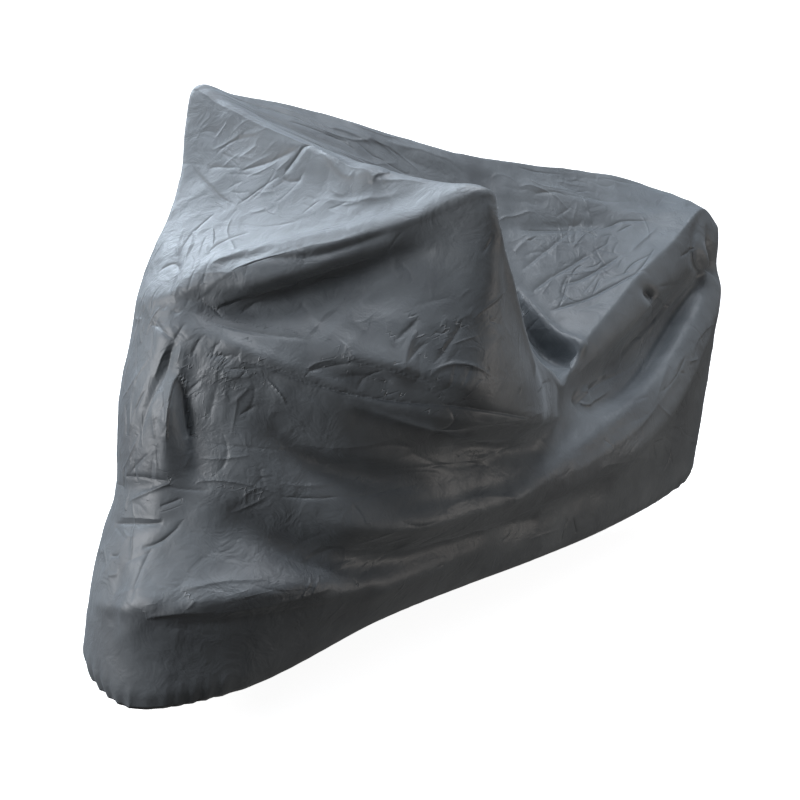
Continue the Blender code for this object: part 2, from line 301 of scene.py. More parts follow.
SKIRT_FALLS = (
    Fall("nose left",    line=0, across=0.0, hem=(-1.012, -0.135, 0.083), waist=0.000, knee=0.020),
    Fall("brow left",    line=2, across=0.0, hem=(-0.840, -0.258, 0.105), waist=-0.010, knee=0.015),
    Fall("grip left",    line=5, across=0.0, hem=(-0.430, -0.245, 0.135), waist=0.060, knee=0.030),
    Fall("fall left",    line=8, across=0.0, hem=(-0.120, -0.225, 0.131), waist=0.060, knee=0.030),
    Fall("pocket left",  line=10, across=0.0, hem=(0.120, -0.220, 0.129), waist=0.020, knee=0.030),
    Fall("saddle left",  line=12, across=0.0, hem=(0.420, -0.205, 0.131), waist=0.040, knee=0.020),
    Fall("rack left",    line=14, across=0.0, hem=(0.760, -0.165, 0.142), waist=0.030, knee=0.010),
    Fall("tail left",    line=16, across=0.0, hem=(0.935, -0.115, 0.165), waist=0.020, knee=0.010),
    Fall("tail right",   line=16, across=1.0, hem=(0.940, 0.130, 0.135), waist=0.020, knee=0.010),
    Fall("rack right",   line=14, across=1.0, hem=(0.760, 0.200, 0.130), waist=0.040, knee=0.020),
    Fall("saddle right", line=12, across=1.0, hem=(0.420, 0.240, 0.125), waist=0.060, knee=0.030),
    Fall("pocket right", line=10, across=1.0, hem=(0.120, 0.250, 0.122), waist=0.060, knee=0.030),
    Fall("fall right",   line=8, across=1.0, hem=(-0.120, 0.255, 0.122), waist=0.020, knee=0.030),
    Fall("grip right",   line=5, across=1.0, hem=(-0.450, 0.250, 0.122), waist=-0.020, knee=0.020),
    Fall("brow right",   line=2, across=1.0, hem=(-0.870, 0.185, 0.110), waist=-0.010, knee=-0.010),
    Fall("nose right",   line=0, across=1.0, hem=(-1.008, 0.060, 0.105), waist=-0.005, knee=0.010),
)

MAIN_FOLDS = (
    Fold("brow hollow", Side.LEFT, start=(-0.73, 0.86), middle=(-0.53, 0.91), end=(-0.38, 1.00),
         rises=(-0.025, -0.04, -0.015), widths=(0.045, 0.07)),
    Fold("panel edge", Side.LEFT, start=(-0.60, 0.77), middle=(-0.40, 0.70), end=(0.01, 0.57),
         rises=(0.02, 0.038, 0.025), widths=(0.12, 0.055)),
    Fold("nose swag", Side.LEFT, start=(-0.75, 0.80), middle=(-0.55, 0.65), end=(-0.07, 0.55),
         rises=(0.015, 0.028, 0.005), widths=(0.055, 0.065)),
    Fold("high swag hollow", Side.LEFT, start=(-0.70, 0.69), middle=(-0.55, 0.53), end=(-0.28, 0.47),
         rises=(-0.015, -0.036, -0.02), widths=(0.06, 0.06)),
    Fold("waist hollow", Side.LEFT, start=(-0.53, 0.62), middle=(-0.30, 0.52), end=(0.11, 0.49),
         rises=(-0.015, -0.036, -0.015), widths=(0.055, 0.055)),
    Fold("tail swag", Side.LEFT, start=(0.95, 0.74), middle=(0.40, 0.40), end=(-0.56, 0.39),
         rises=(0.025, 0.065, 0.03), widths=(0.11, 0.06)),
    Fold("tail hollow", Side.LEFT, start=(0.96, 0.80), middle=(0.56, 0.64), end=(0.14, 0.53),
         rises=(-0.03, -0.065, -0.012), widths=(0.055, 0.065)),
    Fold("knee hollow", Side.LEFT, start=(-0.77, 0.43), middle=(-0.35, 0.32), end=(0.30, 0.30),
         rises=(-0.025, -0.045, -0.025), widths=(0.06, 0.06)),
    Fold("knee swag", Side.LEFT, start=(-0.98, 0.27), middle=(-0.64, 0.28), end=(-0.16, 0.27),
         rises=(0.025, 0.045, 0.025), widths=(0.085, 0.055)),
    Fold("nose waist", Side.FRONT, start=(-0.20, 0.47), middle=(0.05, 0.45), end=(0.26, 0.46),
         rises=(-0.010, -0.022, -0.020), widths=(0.10, 0.10)),
    Fold("nose brim", Side.FRONT, start=(-0.08, 0.70), middle=(0.08, 0.68), end=(0.20, 0.70),
         rises=(0.004, 0.008, 0.005), widths=(0.07, 0.09)),
    Fold("nose crease", Side.FRONT, start=(0.00, 0.78), middle=(-0.06, 0.64), end=(-0.12, 0.50),
         rises=(0.01, 0.018, 0.005), widths=(0.05, 0.05)),
    Fold("nose hollow", Side.FRONT, start=(-0.06, 0.72), middle=(-0.12, 0.58), end=(-0.15, 0.45),
         rises=(-0.015, -0.03, -0.01), widths=(0.05, 0.05)),
    Fold("saddle pocket", Side.TOP, start=(0.05, -0.22), middle=(0.14, -0.19), end=(0.24, -0.15),
         rises=(-0.02, -0.045, -0.02), widths=(0.07, 0.05)),
    Fold("grip swag", Side.RIGHT, start=(0.90, 0.80), middle=(0.20, 0.62), end=(-0.42, 0.86),
         rises=(0.01, 0.035, 0.015), widths=(0.10, 0.07)),
    Fold("right hollow", Side.RIGHT, start=(0.95, 0.62), middle=(0.30, 0.46), end=(-0.50, 0.60),
         rises=(-0.01, -0.035, -0.015), widths=(0.06, 0.06)),
    Fold("right knee swag", Side.RIGHT, start=(0.85, 0.38), middle=(0.10, 0.30), end=(-0.85, 0.36),
         rises=(0.01, 0.03, 0.015), widths=(0.08, 0.05)),
)


@dataclass(frozen=True)
class Crease:
    """A crisp crease, finer than the net: it is drawn in the cloth's surface by its distance.

    The skew makes the crease a small step. Above 0 it reaches further to the left of its way from
    start to end, in the side's two axes, and below 0 further to the right.
    """

    name: str
    side: Side
    start: tuple[float, float]
    middle: tuple[float, float]
    end: tuple[float, float]
    rise: float
    width: float
    skew: float = 0.0

    def read(self, points: np.ndarray, normals: np.ndarray) -> tuple[np.ndarray, np.ndarray, np.ndarray]:
        """Reads the crease at the cloth's points near it.

        Args:
            points: The cloth's points, heights above the ground.
            normals: The cloth's outward direction at each point.

        Returns:
            The numbers of the points near the crease, how many of its widths each one is from it, to
            the left of it or to the right, and how high the crease is there.
        """
        places = points[:, self.side.axes]
        curve = curve_through(self.start, self.middle, self.end)
        reach = CREASE_REACH * self.width
        low = curve.min(axis=0) - CREASE_MARGIN * reach
        high = curve.max(axis=0) + CREASE_MARGIN * reach
        near = np.flatnonzero(np.all((places > low) & (places < high), axis=1))
        near = near[self.side.share(normals[near]) > 0.0]
        offset, along, distance = nearest_on(places[near], curve)
        chord = curve[-1] - curve[0]
        left = np.sign(chord[0] * offset[:, 1] - chord[1] * offset[:, 0])
        widths = left * distance / self.width
        height = self.rise * (1.0 - (2.0 * along - 1.0) ** 4) * self.side.share(normals[near])
        height *= np.clip(1.0 - (widths / CREASE_REACH) ** 2, 0.0, 1.0) ** 2
        return near, widths, height


@dataclass(frozen=True)
class CreaseField:
    """A patch of cloth with many like creases, each one set by a seeded draw.

    The angle is that of the creases and the fan how far they stray from it, in degrees. The scatter is
    a share of the spread, the bend a share of a crease's half length, and the rise and width ranges
    shares of the patch's own rise and width.
    """

    name: str
    side: Side
    centre: tuple[float, float]
    spread: tuple[float, float]
    angle: float
    fan: float
    count: int
    length: tuple[float, float]
    rise: float
    width: float
    seed: int
    scatter: float = 0.45
    bend: float = 0.14
    rise_range: tuple[float, float] = (0.4, 1.3)
    width_range: tuple[float, float] = (0.7, 1.4)
    skew_range: tuple[float, float] = (-0.6, 0.6)

    def creases(self) -> list[Crease]:
        """Draws the patch's creases.

        Returns:
            The creases, in the order of the draw.
        """
        draw = np.random.default_rng(self.seed)
        made = []
        for number in range(self.count):
            centre = np.array(self.centre) + draw.normal(0.0, self.scatter, 2) * np.array(self.spread)
            angle = math.radians(self.angle + draw.normal(0.0, self.fan))
            half = 0.5 * draw.uniform(*self.length)
            way = np.array((math.cos(angle), math.sin(angle)))
            aside = np.array((-way[1], way[0])) * draw.normal(0.0, self.bend) * half
            rise = self.rise * draw.uniform(*self.rise_range) * draw.choice((-1.0, 1.0))
            made.append(Crease(
                f"{self.name} {number + 1}", self.side, tuple(centre - way * half), tuple(centre + aside),
                tuple(centre + way * half), rise, self.width * draw.uniform(*self.width_range),
                skew=draw.uniform(*self.skew_range)))
        return made


@dataclass
class Drape:
    """The cover's hanging shape on a fine net of four-sided cells, open at the hem.

    The net has a top, whose columns run from the nose to the tail, and a skirt of loops that fall
    from the top's edge to the hem. Heights are above the ground until `to_object` moves them.
    """

    # The net's cells, and how the shoulder's marks are counted across the tail and the nose.
    columns: int = 236
    rows: int = 92
    skirt: int = 104
    edge_samples: int = 1000
    nose_span: float = 2.0
    tail_span: float = 2.0
    ground_drop: float = 0.860
    # The hem: how much of the skirt its elastic draws in and how far, and the part turned up inside.
    hem_share: float = 0.040
    hem_tuck: float = 0.015
    turned_loops: int = 4
    turned_width: float = 0.025
    turned_room: float = 0.0025
    rising_loops: int = 3
    # How far the cloth is eased, and the taut edge below the near grip that is left crisp.
    ease: float = 0.5
    ridge_hold: float = 0.85
    ridge_rises: tuple[float, float] = (4.2, 5.2)
    ridge_fades: tuple[float, float] = (10.0, 11.5)
    ridge_width: float = 0.12
    # The crumple: the size and height of each of its layers, its patches, its bends, and its fade at the hem.
    crumple_layers: tuple[tuple[float, float], ...] = ((0.11, 0.0030), (0.045, 0.0012))
    patch_level: float = 0.6
    patch_swing: float = 0.8
    patch_pitch: float = 3.1
    patch_shift: tuple[float, float, float] = (7.0, 2.0, 5.0)
    crumple_bend: float = 0.6
    crumple_fade: tuple[float, float] = (0.97, 1.0)
    # The gathers of the hem, which are least along the sides and rise over the lowest part of the skirt.
    gather_pitch: float = 0.043
    gather_height: float = 0.0030
    gather_least: float = 0.15
    gather_ends: tuple[float, float] = (0.70, 0.92)
    wander_pitch: float = 5.0
    wander_turn: float = 9.0
    strength_pitch: float = 9.0
    strength_level: float = 0.7
    gather_rise: tuple[float, float] = (0.91, 0.995)
    # How strongly the crisp creases are drawn.
    crease_strength: float = 1.45
    # What is worked out from these.
    lines: np.ndarray = field(init=False)
    ring: list[tuple[int, int]] = field(init=False)
    outward: np.ndarray = field(init=False)
    points: np.ndarray = field(init=False)
    quads: np.ndarray = field(init=False)
    edges: np.ndarray = field(init=False)
    counts: np.ndarray = field(init=False)
    layers: np.ndarray = field(init=False)
    line_of: np.ndarray = field(init=False)
    share_of: np.ndarray = field(init=False)
    across_of: np.ndarray = field(init=False)
    loop_size: int = field(init=False)
    top_size: int = field(init=False)

    def __post_init__(self) -> None:
        """Works out the net before its folds."""
        self.lines = self.even_lines()
        self.build()

    @staticmethod
    def top_edges(lines: np.ndarray) -> tuple[np.ndarray, np.ndarray, np.ndarray, np.ndarray]:
        """The top's two edges, its sag and its bow at places along its lines.

        Args:
            lines: Places counted in top lines from the nose.

        Returns:
            The left points, the right points, the sags and the bows.
        """
        marks = np.arange(len(TOP_LINES), dtype=float)
        values = [(*line.left, *line.right, line.sag, line.bow) for line in TOP_LINES]
        found = smooth_between(marks, np.array(values), lines)
        return found[:, 0:3], found[:, 3:6], found[:, 6:7], found[:, 7:8]

    def even_lines(self) -> np.ndarray:
        """Places along the top's lines, spaced evenly by the mean length of its two edges.

        Returns:
            The places, counted in top lines from the nose.
        """
        places = np.linspace(0.0, len(TOP_LINES) - 1.0, self.edge_samples)
        left, right, _, _ = self.top_edges(places)
        steps = np.linalg.norm(np.diff(left, axis=0), axis=1)
        steps += np.linalg.norm(np.diff(right, axis=0), axis=1)
        travelled = np.concatenate(([0.0], np.cumsum(steps)))
        wanted = np.linspace(0.0, travelled[-1], self.columns + 1)
        return np.interp(wanted, travelled, places)

    def top_grid(self) -> np.ndarray:
        """The top's points: columns from the nose to the tail, rows from left to right.

        Returns:
            One point for each column and row.
        """
        left, right, sag, bow = self.top_edges(self.lines)
        across = np.linspace(0.0, 1.0, self.rows + 1)[None, :, None]
        belly = 4.0 * across * (1.0 - across)
        grid = left[:, None, :] + (right - left)[:, None, :] * across
        grid[:, :, 0:1] += bow[:, None, :] * belly
        grid[:, :, 2:3] -= sag[:, None, :] * belly
        return grid

    def ring_places(self) -> list[tuple[int, int]]:
        """The grid places of the top's edge in order: left side, tail, right side, nose.

        Returns:
            The column and the row of each place.
        """
        ring = [(column, 0) for column in range(self.columns + 1)]
        ring += [(self.columns, row) for row in range(1, self.rows)]
        ring += [(column, self.rows) for column in range(self.columns, -1, -1)]
        ring += [(0, row) for row in range(self.rows - 1, 0, -1)]
        return ring

    def ring_mark(self, line: float, across: float) -> float:
        """One number that grows round the shoulder, from the nose's left corner.

        Args:
            line: The place counted in top lines.
            across: The share of the way from the left edge to the right one.

        Returns:
            The mark.
        """
        last = len(TOP_LINES) - 1.0
        if across <= 0.0:
            return line
        if across >= 1.0:
            return 2.0 * last + self.tail_span - line
        if line > 0.5 * last:
            return last + self.tail_span * across
        return 2.0 * last + self.tail_span + self.nose_span * (1.0 - across)

    def fall_values(self, marks: np.ndarray) -> tuple[np.ndarray, np.ndarray, np.ndarray]:
        """Where the hem is and how the skirt swells below each place of the shoulder.

        Args:
            marks: Growing numbers round the shoulder.

        Returns:
            The hem points, the waist swells and the knee swells.
        """
        full_turn = 2.0 * (len(TOP_LINES) - 1.0) + self.tail_span + self.nose_span
        known = [self.ring_mark(fall.line, fall.across) for fall in SKIRT_FALLS]
        values = [(*fall.hem, fall.waist, fall.knee) for fall in SKIRT_FALLS]
        known = [mark - full_turn for mark in known[-2:]] + known + [mark + full_turn for mark in known[:2]]
        values = values[-2:] + values + values[:2]
        found = smooth_between(np.array(known), np.array(values), marks)
        return found[:, 0:3], found[:, 3:4], found[:, 4:5]

    @staticmethod
    def outward_round(loop: np.ndarray, passes: int = 240) -> np.ndarray:
        """Level directions that point out of a loop, evened out along it.

        Args:
            loop: The loop's points.
            passes: How often each direction is averaged with its neighbours.

        Returns:
            One direction for each point.
        """
        along = np.roll(loop, -1, axis=0) - np.roll(loop, 1, axis=0)
        outward = np.stack((along[:, 1], -along[:, 0], np.zeros(len(loop))), axis=1)
        for _ in range(passes):
            outward = (np.roll(outward, 1, axis=0) + 2.0 * outward + np.roll(outward, -1, axis=0)) / 4.0
        return outward / np.linalg.norm(outward, axis=1, keepdims=True)

    def build(self) -> None:
        """Lays out the net's points and cells."""
        grid = self.top_grid()
        self.ring = self.ring_places()
        marks = np.array([self.ring_mark(self.lines[column], row / self.rows) for column, row in self.ring])
        shoulder = np.array([grid[column, row] for column, row in self.ring])
        hem, waist, knee = self.fall_values(marks)
        self.outward = self.outward_round(hem)
        shares = np.linspace(0.0, 1.0, self.skirt + 1)[1:]
        loops = []
        for share in shares:
            swell = SWELL_PEAK * share * (1.0 - share) * (waist * (1.0 - share) + knee * share)
            tuck = self.hem_tuck * max(0.0, share - (1.0 - self.hem_share)) / self.hem_share
            loops.append(shoulder + (hem - shoulder) * share + self.outward * (swell - tuck))
        self.points = np.concatenate((grid.reshape(-1, 3), *loops))
        self.loop_size = len(self.ring)
        self.top_size = (self.columns + 1) * (self.rows + 1)
        self.line_of = np.concatenate(
            (np.repeat(self.lines, self.rows + 1), np.tile(marks, self.skirt)))
        self.share_of = np.concatenate((np.zeros(self.top_size), np.repeat(shares, self.loop_size)))
        self.across_of = np.concatenate(
            (np.tile(np.linspace(0.0, 1.0, self.rows + 1), self.columns + 1),
             np.full(self.skirt * self.loop_size, -1.0)))
        self.lay_cells()

    def loop_ids(self, loop: int) -> np.ndarray:
        """The point numbers of one loop, the shoulder being loop 0.

        Args:
            loop: Which loop, counted downwards.

        Returns:
            One point number for each place of the ring.
        """
        if loop == 0:
            return np.array([column * (self.rows + 1) + row for column, row in self.ring])
        first = self.top_size + (loop - 1) * self.loop_size
        return np.arange(first, first + self.loop_size)

    @staticmethod
    def band(above: np.ndarray, below: np.ndarray) -> np.ndarray:
        """The cells between one loop's point numbers and the next one's."""
        return np.stack((np.roll(above, -1), above, below, np.roll(below, -1)), axis=-1)

    def lay_cells(self) -> None:
        """Joins the points into cells, and notes which points are neighbours."""
        ids = np.arange(self.top_size).reshape(self.columns + 1, self.rows + 1)
        cells = [np.stack((ids[:-1, :-1], ids[1:, :-1], ids[1:, 1:], ids[:-1, 1:]), axis=-1).reshape(-1, 4)]
        for loop in range(self.skirt):
            cells.append(self.band(self.loop_ids(loop), self.loop_ids(loop + 1)))
        self.quads = np.concatenate(cells)
        pairs = np.concatenate([self.quads[:, [k, (k + 1) % 4]] for k in range(4)])
        self.edges = np.concatenate((pairs, pairs[:, ::-1]))
        self.counts = np.bincount(self.edges[:, 0], minlength=len(self.points)).astype(float)[:, None]

    def normals(self) -> np.ndarray:
        """The outward direction at every point, from the cells round it.

        Returns:
            One direction for each point.
        """
        corners = self.points[self.quads]
        faces = np.cross(corners[:, 2] - corners[:, 0], corners[:, 3] - corners[:, 1])
        sums = np.zeros_like(self.points)
        for corner in range(4):
            np.add.at(sums, self.quads[:, corner], faces)
        return sums / np.maximum(np.linalg.norm(sums, axis=1, keepdims=True), SMALLEST_LENGTH)

    def averaged(self, values: np.ndarray) -> np.ndarray:
        """The mean of each point's neighbours along the cells' edges.

        Args:
            values: One row of values for each point.

        Returns:
            One row of means for each point.
        """
        sums = np.stack(
            [np.bincount(self.edges[:, 0], values[self.edges[:, 1], k], len(self.points))
             for k in range(values.shape[1])], axis=1)
        return sums / self.counts

    def smooth(self, passes: int, share: np.ndarray) -> None:
        """Eases the cloth's edges, as cloth does where it runs over something.

        Args:
            passes: How often each point moves towards its neighbours.
            share: How far each point may move, from 0 to 1.
        """
        for _ in range(passes):
            self.points += (self.averaged(self.points) - self.points) * share[:, None]

    def crispness(self) -> np.ndarray:
        """How far each point may be eased: less along the near grip's edge, and not at the hem.

        Returns:
            A share from 0 to 1 for each point.
        """
        share = np.full(len(self.points), self.ease)
        share *= 1.0 - self.ridge_hold * self.near_ridge()
        share[self.loop_ids(self.skirt)] = 0.0
        return share

    def near_ridge(self) -> np.ndarray:
        """1 on the taut edge from the near grip down to the pocket, and 0 away from it.

        Returns:
            A share from 0 to 1 for each point.
        """
        along = smooth_step(self.line_of, *self.ridge_rises)
        along *= 1.0 - smooth_step(self.line_of, *self.ridge_fades)
        side = np.where(self.across_of >= 0.0, self.across_of, self.share_of) / self.ridge_width
        last = len(TOP_LINES) - 1.0
        return along * np.exp(-side ** 2) * (self.line_of < last)

    def lift(self, folds: tuple[Fold, ...]) -> None:
        """Moves the cloth in or out along its own directions by a set of folds.

        Args:
            folds: The folds.
        """
        normals = self.normals()
        moves = np.zeros(len(self.points))
        for fold in folds:
            moves += fold.lift(self.points, normals)
        self.points += normals * moves[:, None]

    def crumple(self) -> None:
        """Roughens the cloth, more in some patches than in others, and fades out at the hem."""
        # Left alone, Blender draws the offsets of its vector noise from the clock, so no two runs agree.
        noise.seed_set(CRUMPLE_SEED)
        normals = self.normals()
        moves = np.zeros(len(self.points))
        shift = Vector(self.patch_shift)
        for index, point in enumerate(self.points):
            place = Vector(point)
            patch = self.patch_level + self.patch_swing * noise.noise(place * self.patch_pitch + shift)
            for size, height in self.crumple_layers:
                bent = place / size + self.crumple_bend * noise.noise_vector(place / (2.0 * size))
                moves[index] += height * patch * (0.5 - abs(noise.noise(bent)) * 2.0)
        moves *= 1.0 - smooth_step(self.share_of, *self.crumple_fade)
        self.points += normals * moves[:, None]

    def draw_creases(self, creases: list[Crease]) -> None:
        """Lays crisp creases in a few layers, each of which holds creases that keep clear of each other.

        Args:
            creases: The creases, those that matter most first. One that finds no free layer is left out.
        """
        normals = self.normals()
        self.layers = np.zeros((CREASE_LAYERS, len(self.points), 3))
        # Away from every crease the distance is far and the height is 0.
        self.layers[:, :, 0] = 2.0 * CREASE_REACH
        for crease in creases:
            near, widths, height = crease.read(self.points, normals)
            here = np.abs(height) > 0.0
            for layer in self.layers:
                if np.any(layer[near[here], 1] != 0.0):
                    continue
                free = layer[near, 1] == 0.0
                layer[near[free], 0] = widths[free]
                layer[near[here], 1] = self.crease_strength * height[here]
                layer[near[here], 2] = crease.skew
                break

    @staticmethod
    def noise_along(travelled: np.ndarray, pitch: float, row: tuple[float, float]) -> np.ndarray:
        """Reads smooth noise along a line.

        Args:
            travelled: Distances along the line in metres.
            pitch: How many cells of the noise lie in a metre.
            row: Where the line lies in the noise, so that no two lines are alike.

        Returns:
            One value for each distance.
        """
        return np.array([noise.noise(Vector((pitch * place, *row))) for place in travelled])

    def gather_hem(self) -> None:
        """Draws the hem in on its elastic, most of all round the two wheels."""
        rim = self.points[self.loop_ids(self.skirt)]
        steps = np.linalg.norm(np.roll(rim, -1, axis=0) - rim, axis=1)
        travelled = np.concatenate(([0.0], np.cumsum(steps)[:-1]))
        ends = smooth_step(np.abs(rim[:, 0]), *self.gather_ends)
        wander = self.noise_along(travelled, self.wander_pitch, (0.3, 1.7))
        strength = self.strength_level + self.noise_along(travelled, self.strength_pitch, (4.3, 0.7))
        wave = np.sin(2.0 * math.pi * travelled / self.gather_pitch + self.wander_turn * wander) * strength
        wave *= (self.gather_least + (1.0 - self.gather_least) * ends) * self.gather_height
        for loop in range(self.skirt + 1):
            ids = self.loop_ids(loop)
            fade = float(smooth_step(np.array([loop / self.skirt]), *self.gather_rise)[0])
            if fade > 0.0:
                self.points[ids] += self.outward * (wave * fade)[:, None]

    def turn_up_hem(self) -> None:
        """Turns the hem up inside, as the channel for its elastic is sewn."""
        last = self.loop_ids(self.skirt)
        before = self.points[self.loop_ids(self.skirt - self.rising_loops)]
        rim = self.points[last]
        rising = before - rim
        rising /= np.linalg.norm(rising, axis=1, keepdims=True)
        loops = []
        for step in range(1, self.turned_loops + 1):
            share = step / self.turned_loops
            inwards = self.turned_room * min(1.0, 2.0 * share)
            loops.append(rim + rising * (self.turned_width * share) - self.outward * inwards)
        first = len(self.points)
        self.points = np.concatenate((self.points, *loops))
        cells = []
        above = last
        for step in range(self.turned_loops):
            below = np.arange(first + step * self.loop_size, first + (step + 1) * self.loop_size)
            cells.append(self.band(above, below))
            above = below
        self.quads = np.concatenate((self.quads, *cells))

    def flat_top(self) -> np.ndarray:
        """Lays the top's cells flat: along its middle row, and across each column.

        Returns:
            The place of each cell's four corners, in metres.
        """
        ids = np.arange(self.top_size).reshape(self.columns + 1, self.rows + 1)
        grid = self.points[ids]
        middle = self.rows // 2
        along = np.concatenate(([0.0], np.cumsum(np.linalg.norm(np.diff(grid[:, middle], axis=0), axis=1))))
        steps = np.linalg.norm(np.diff(grid, axis=1), axis=2)
        across = np.concatenate((np.zeros((len(ids), 1)), np.cumsum(steps, axis=1)), axis=1)
        top = np.stack((np.broadcast_to(along[:, None], across.shape), across), axis=-1)
        corners = np.stack((top[:-1, :-1], top[1:, :-1], top[1:, 1:], top[:-1, 1:]), axis=2)
        return corners.reshape(-1, 4, 2)

    def flat_skirt(self) -> list[np.ndarray]:
        """Lays the skirt's cells and the turned hem's flat: round the shoulder, and down each fall.

        Returns:
            For each loop, the place of each cell's four corners, in metres.
        """
        places = []
        ring = self.points[self.loop_ids(0)]
        round_steps = np.linalg.norm(np.roll(ring, -1, axis=0) - ring, axis=1)
        start = np.concatenate(([0.0], np.cumsum(round_steps)[:-1]))
        follow = start + round_steps
        drop = np.zeros(len(ring))
        above = ring
        loops = (len(self.points) - self.top_size) // len(ring)
        for loop in range(loops):
            below = self.points[self.top_size + loop * len(ring):self.top_size + (loop + 1) * len(ring)]
            lower = drop + np.linalg.norm(below - above, axis=1)
            places.append(np.stack((
                np.stack((follow, np.roll(drop, -1)), axis=-1),
                np.stack((start, drop), axis=-1),
                np.stack((start, lower), axis=-1),
                np.stack((follow, np.roll(lower, -1)), axis=-1)), axis=1))
            drop = lower
            above = below
        return places

    def to_object(self, name: str) -> bpy.types.Object:
        """Makes the net a mesh object, in the row's frame.

        Args:
            name: The piece's name.

        Returns:
            The object.
        """
        mesh = bpy.data.meshes.new(name)
        points = self.points - np.array((0.0, 0.0, self.ground_drop))
        flat = np.concatenate((self.flat_top(), *self.flat_skirt()))
        mesh.from_pydata(points.tolist(), [], self.quads.tolist())
        layer = mesh.uv_layers.new(name="flat cloth")
        layer.data.foreach_set("uv", flat.reshape(-1).astype(np.float32))
        for number, values in enumerate(self.layers):
            held = mesh.attributes.new(name=f"creases {number + 1}", type="FLOAT_VECTOR", domain="POINT")
            full = np.zeros((len(points), 3), dtype=np.float32)
            full[:len(values)] = values
            held.data.foreach_set("vector", full.reshape(-1))
        mesh.shade_smooth()
        piece = bpy.data.objects.new(name, mesh)
        bpy.context.scene.collection.objects.link(piece)
        return piece


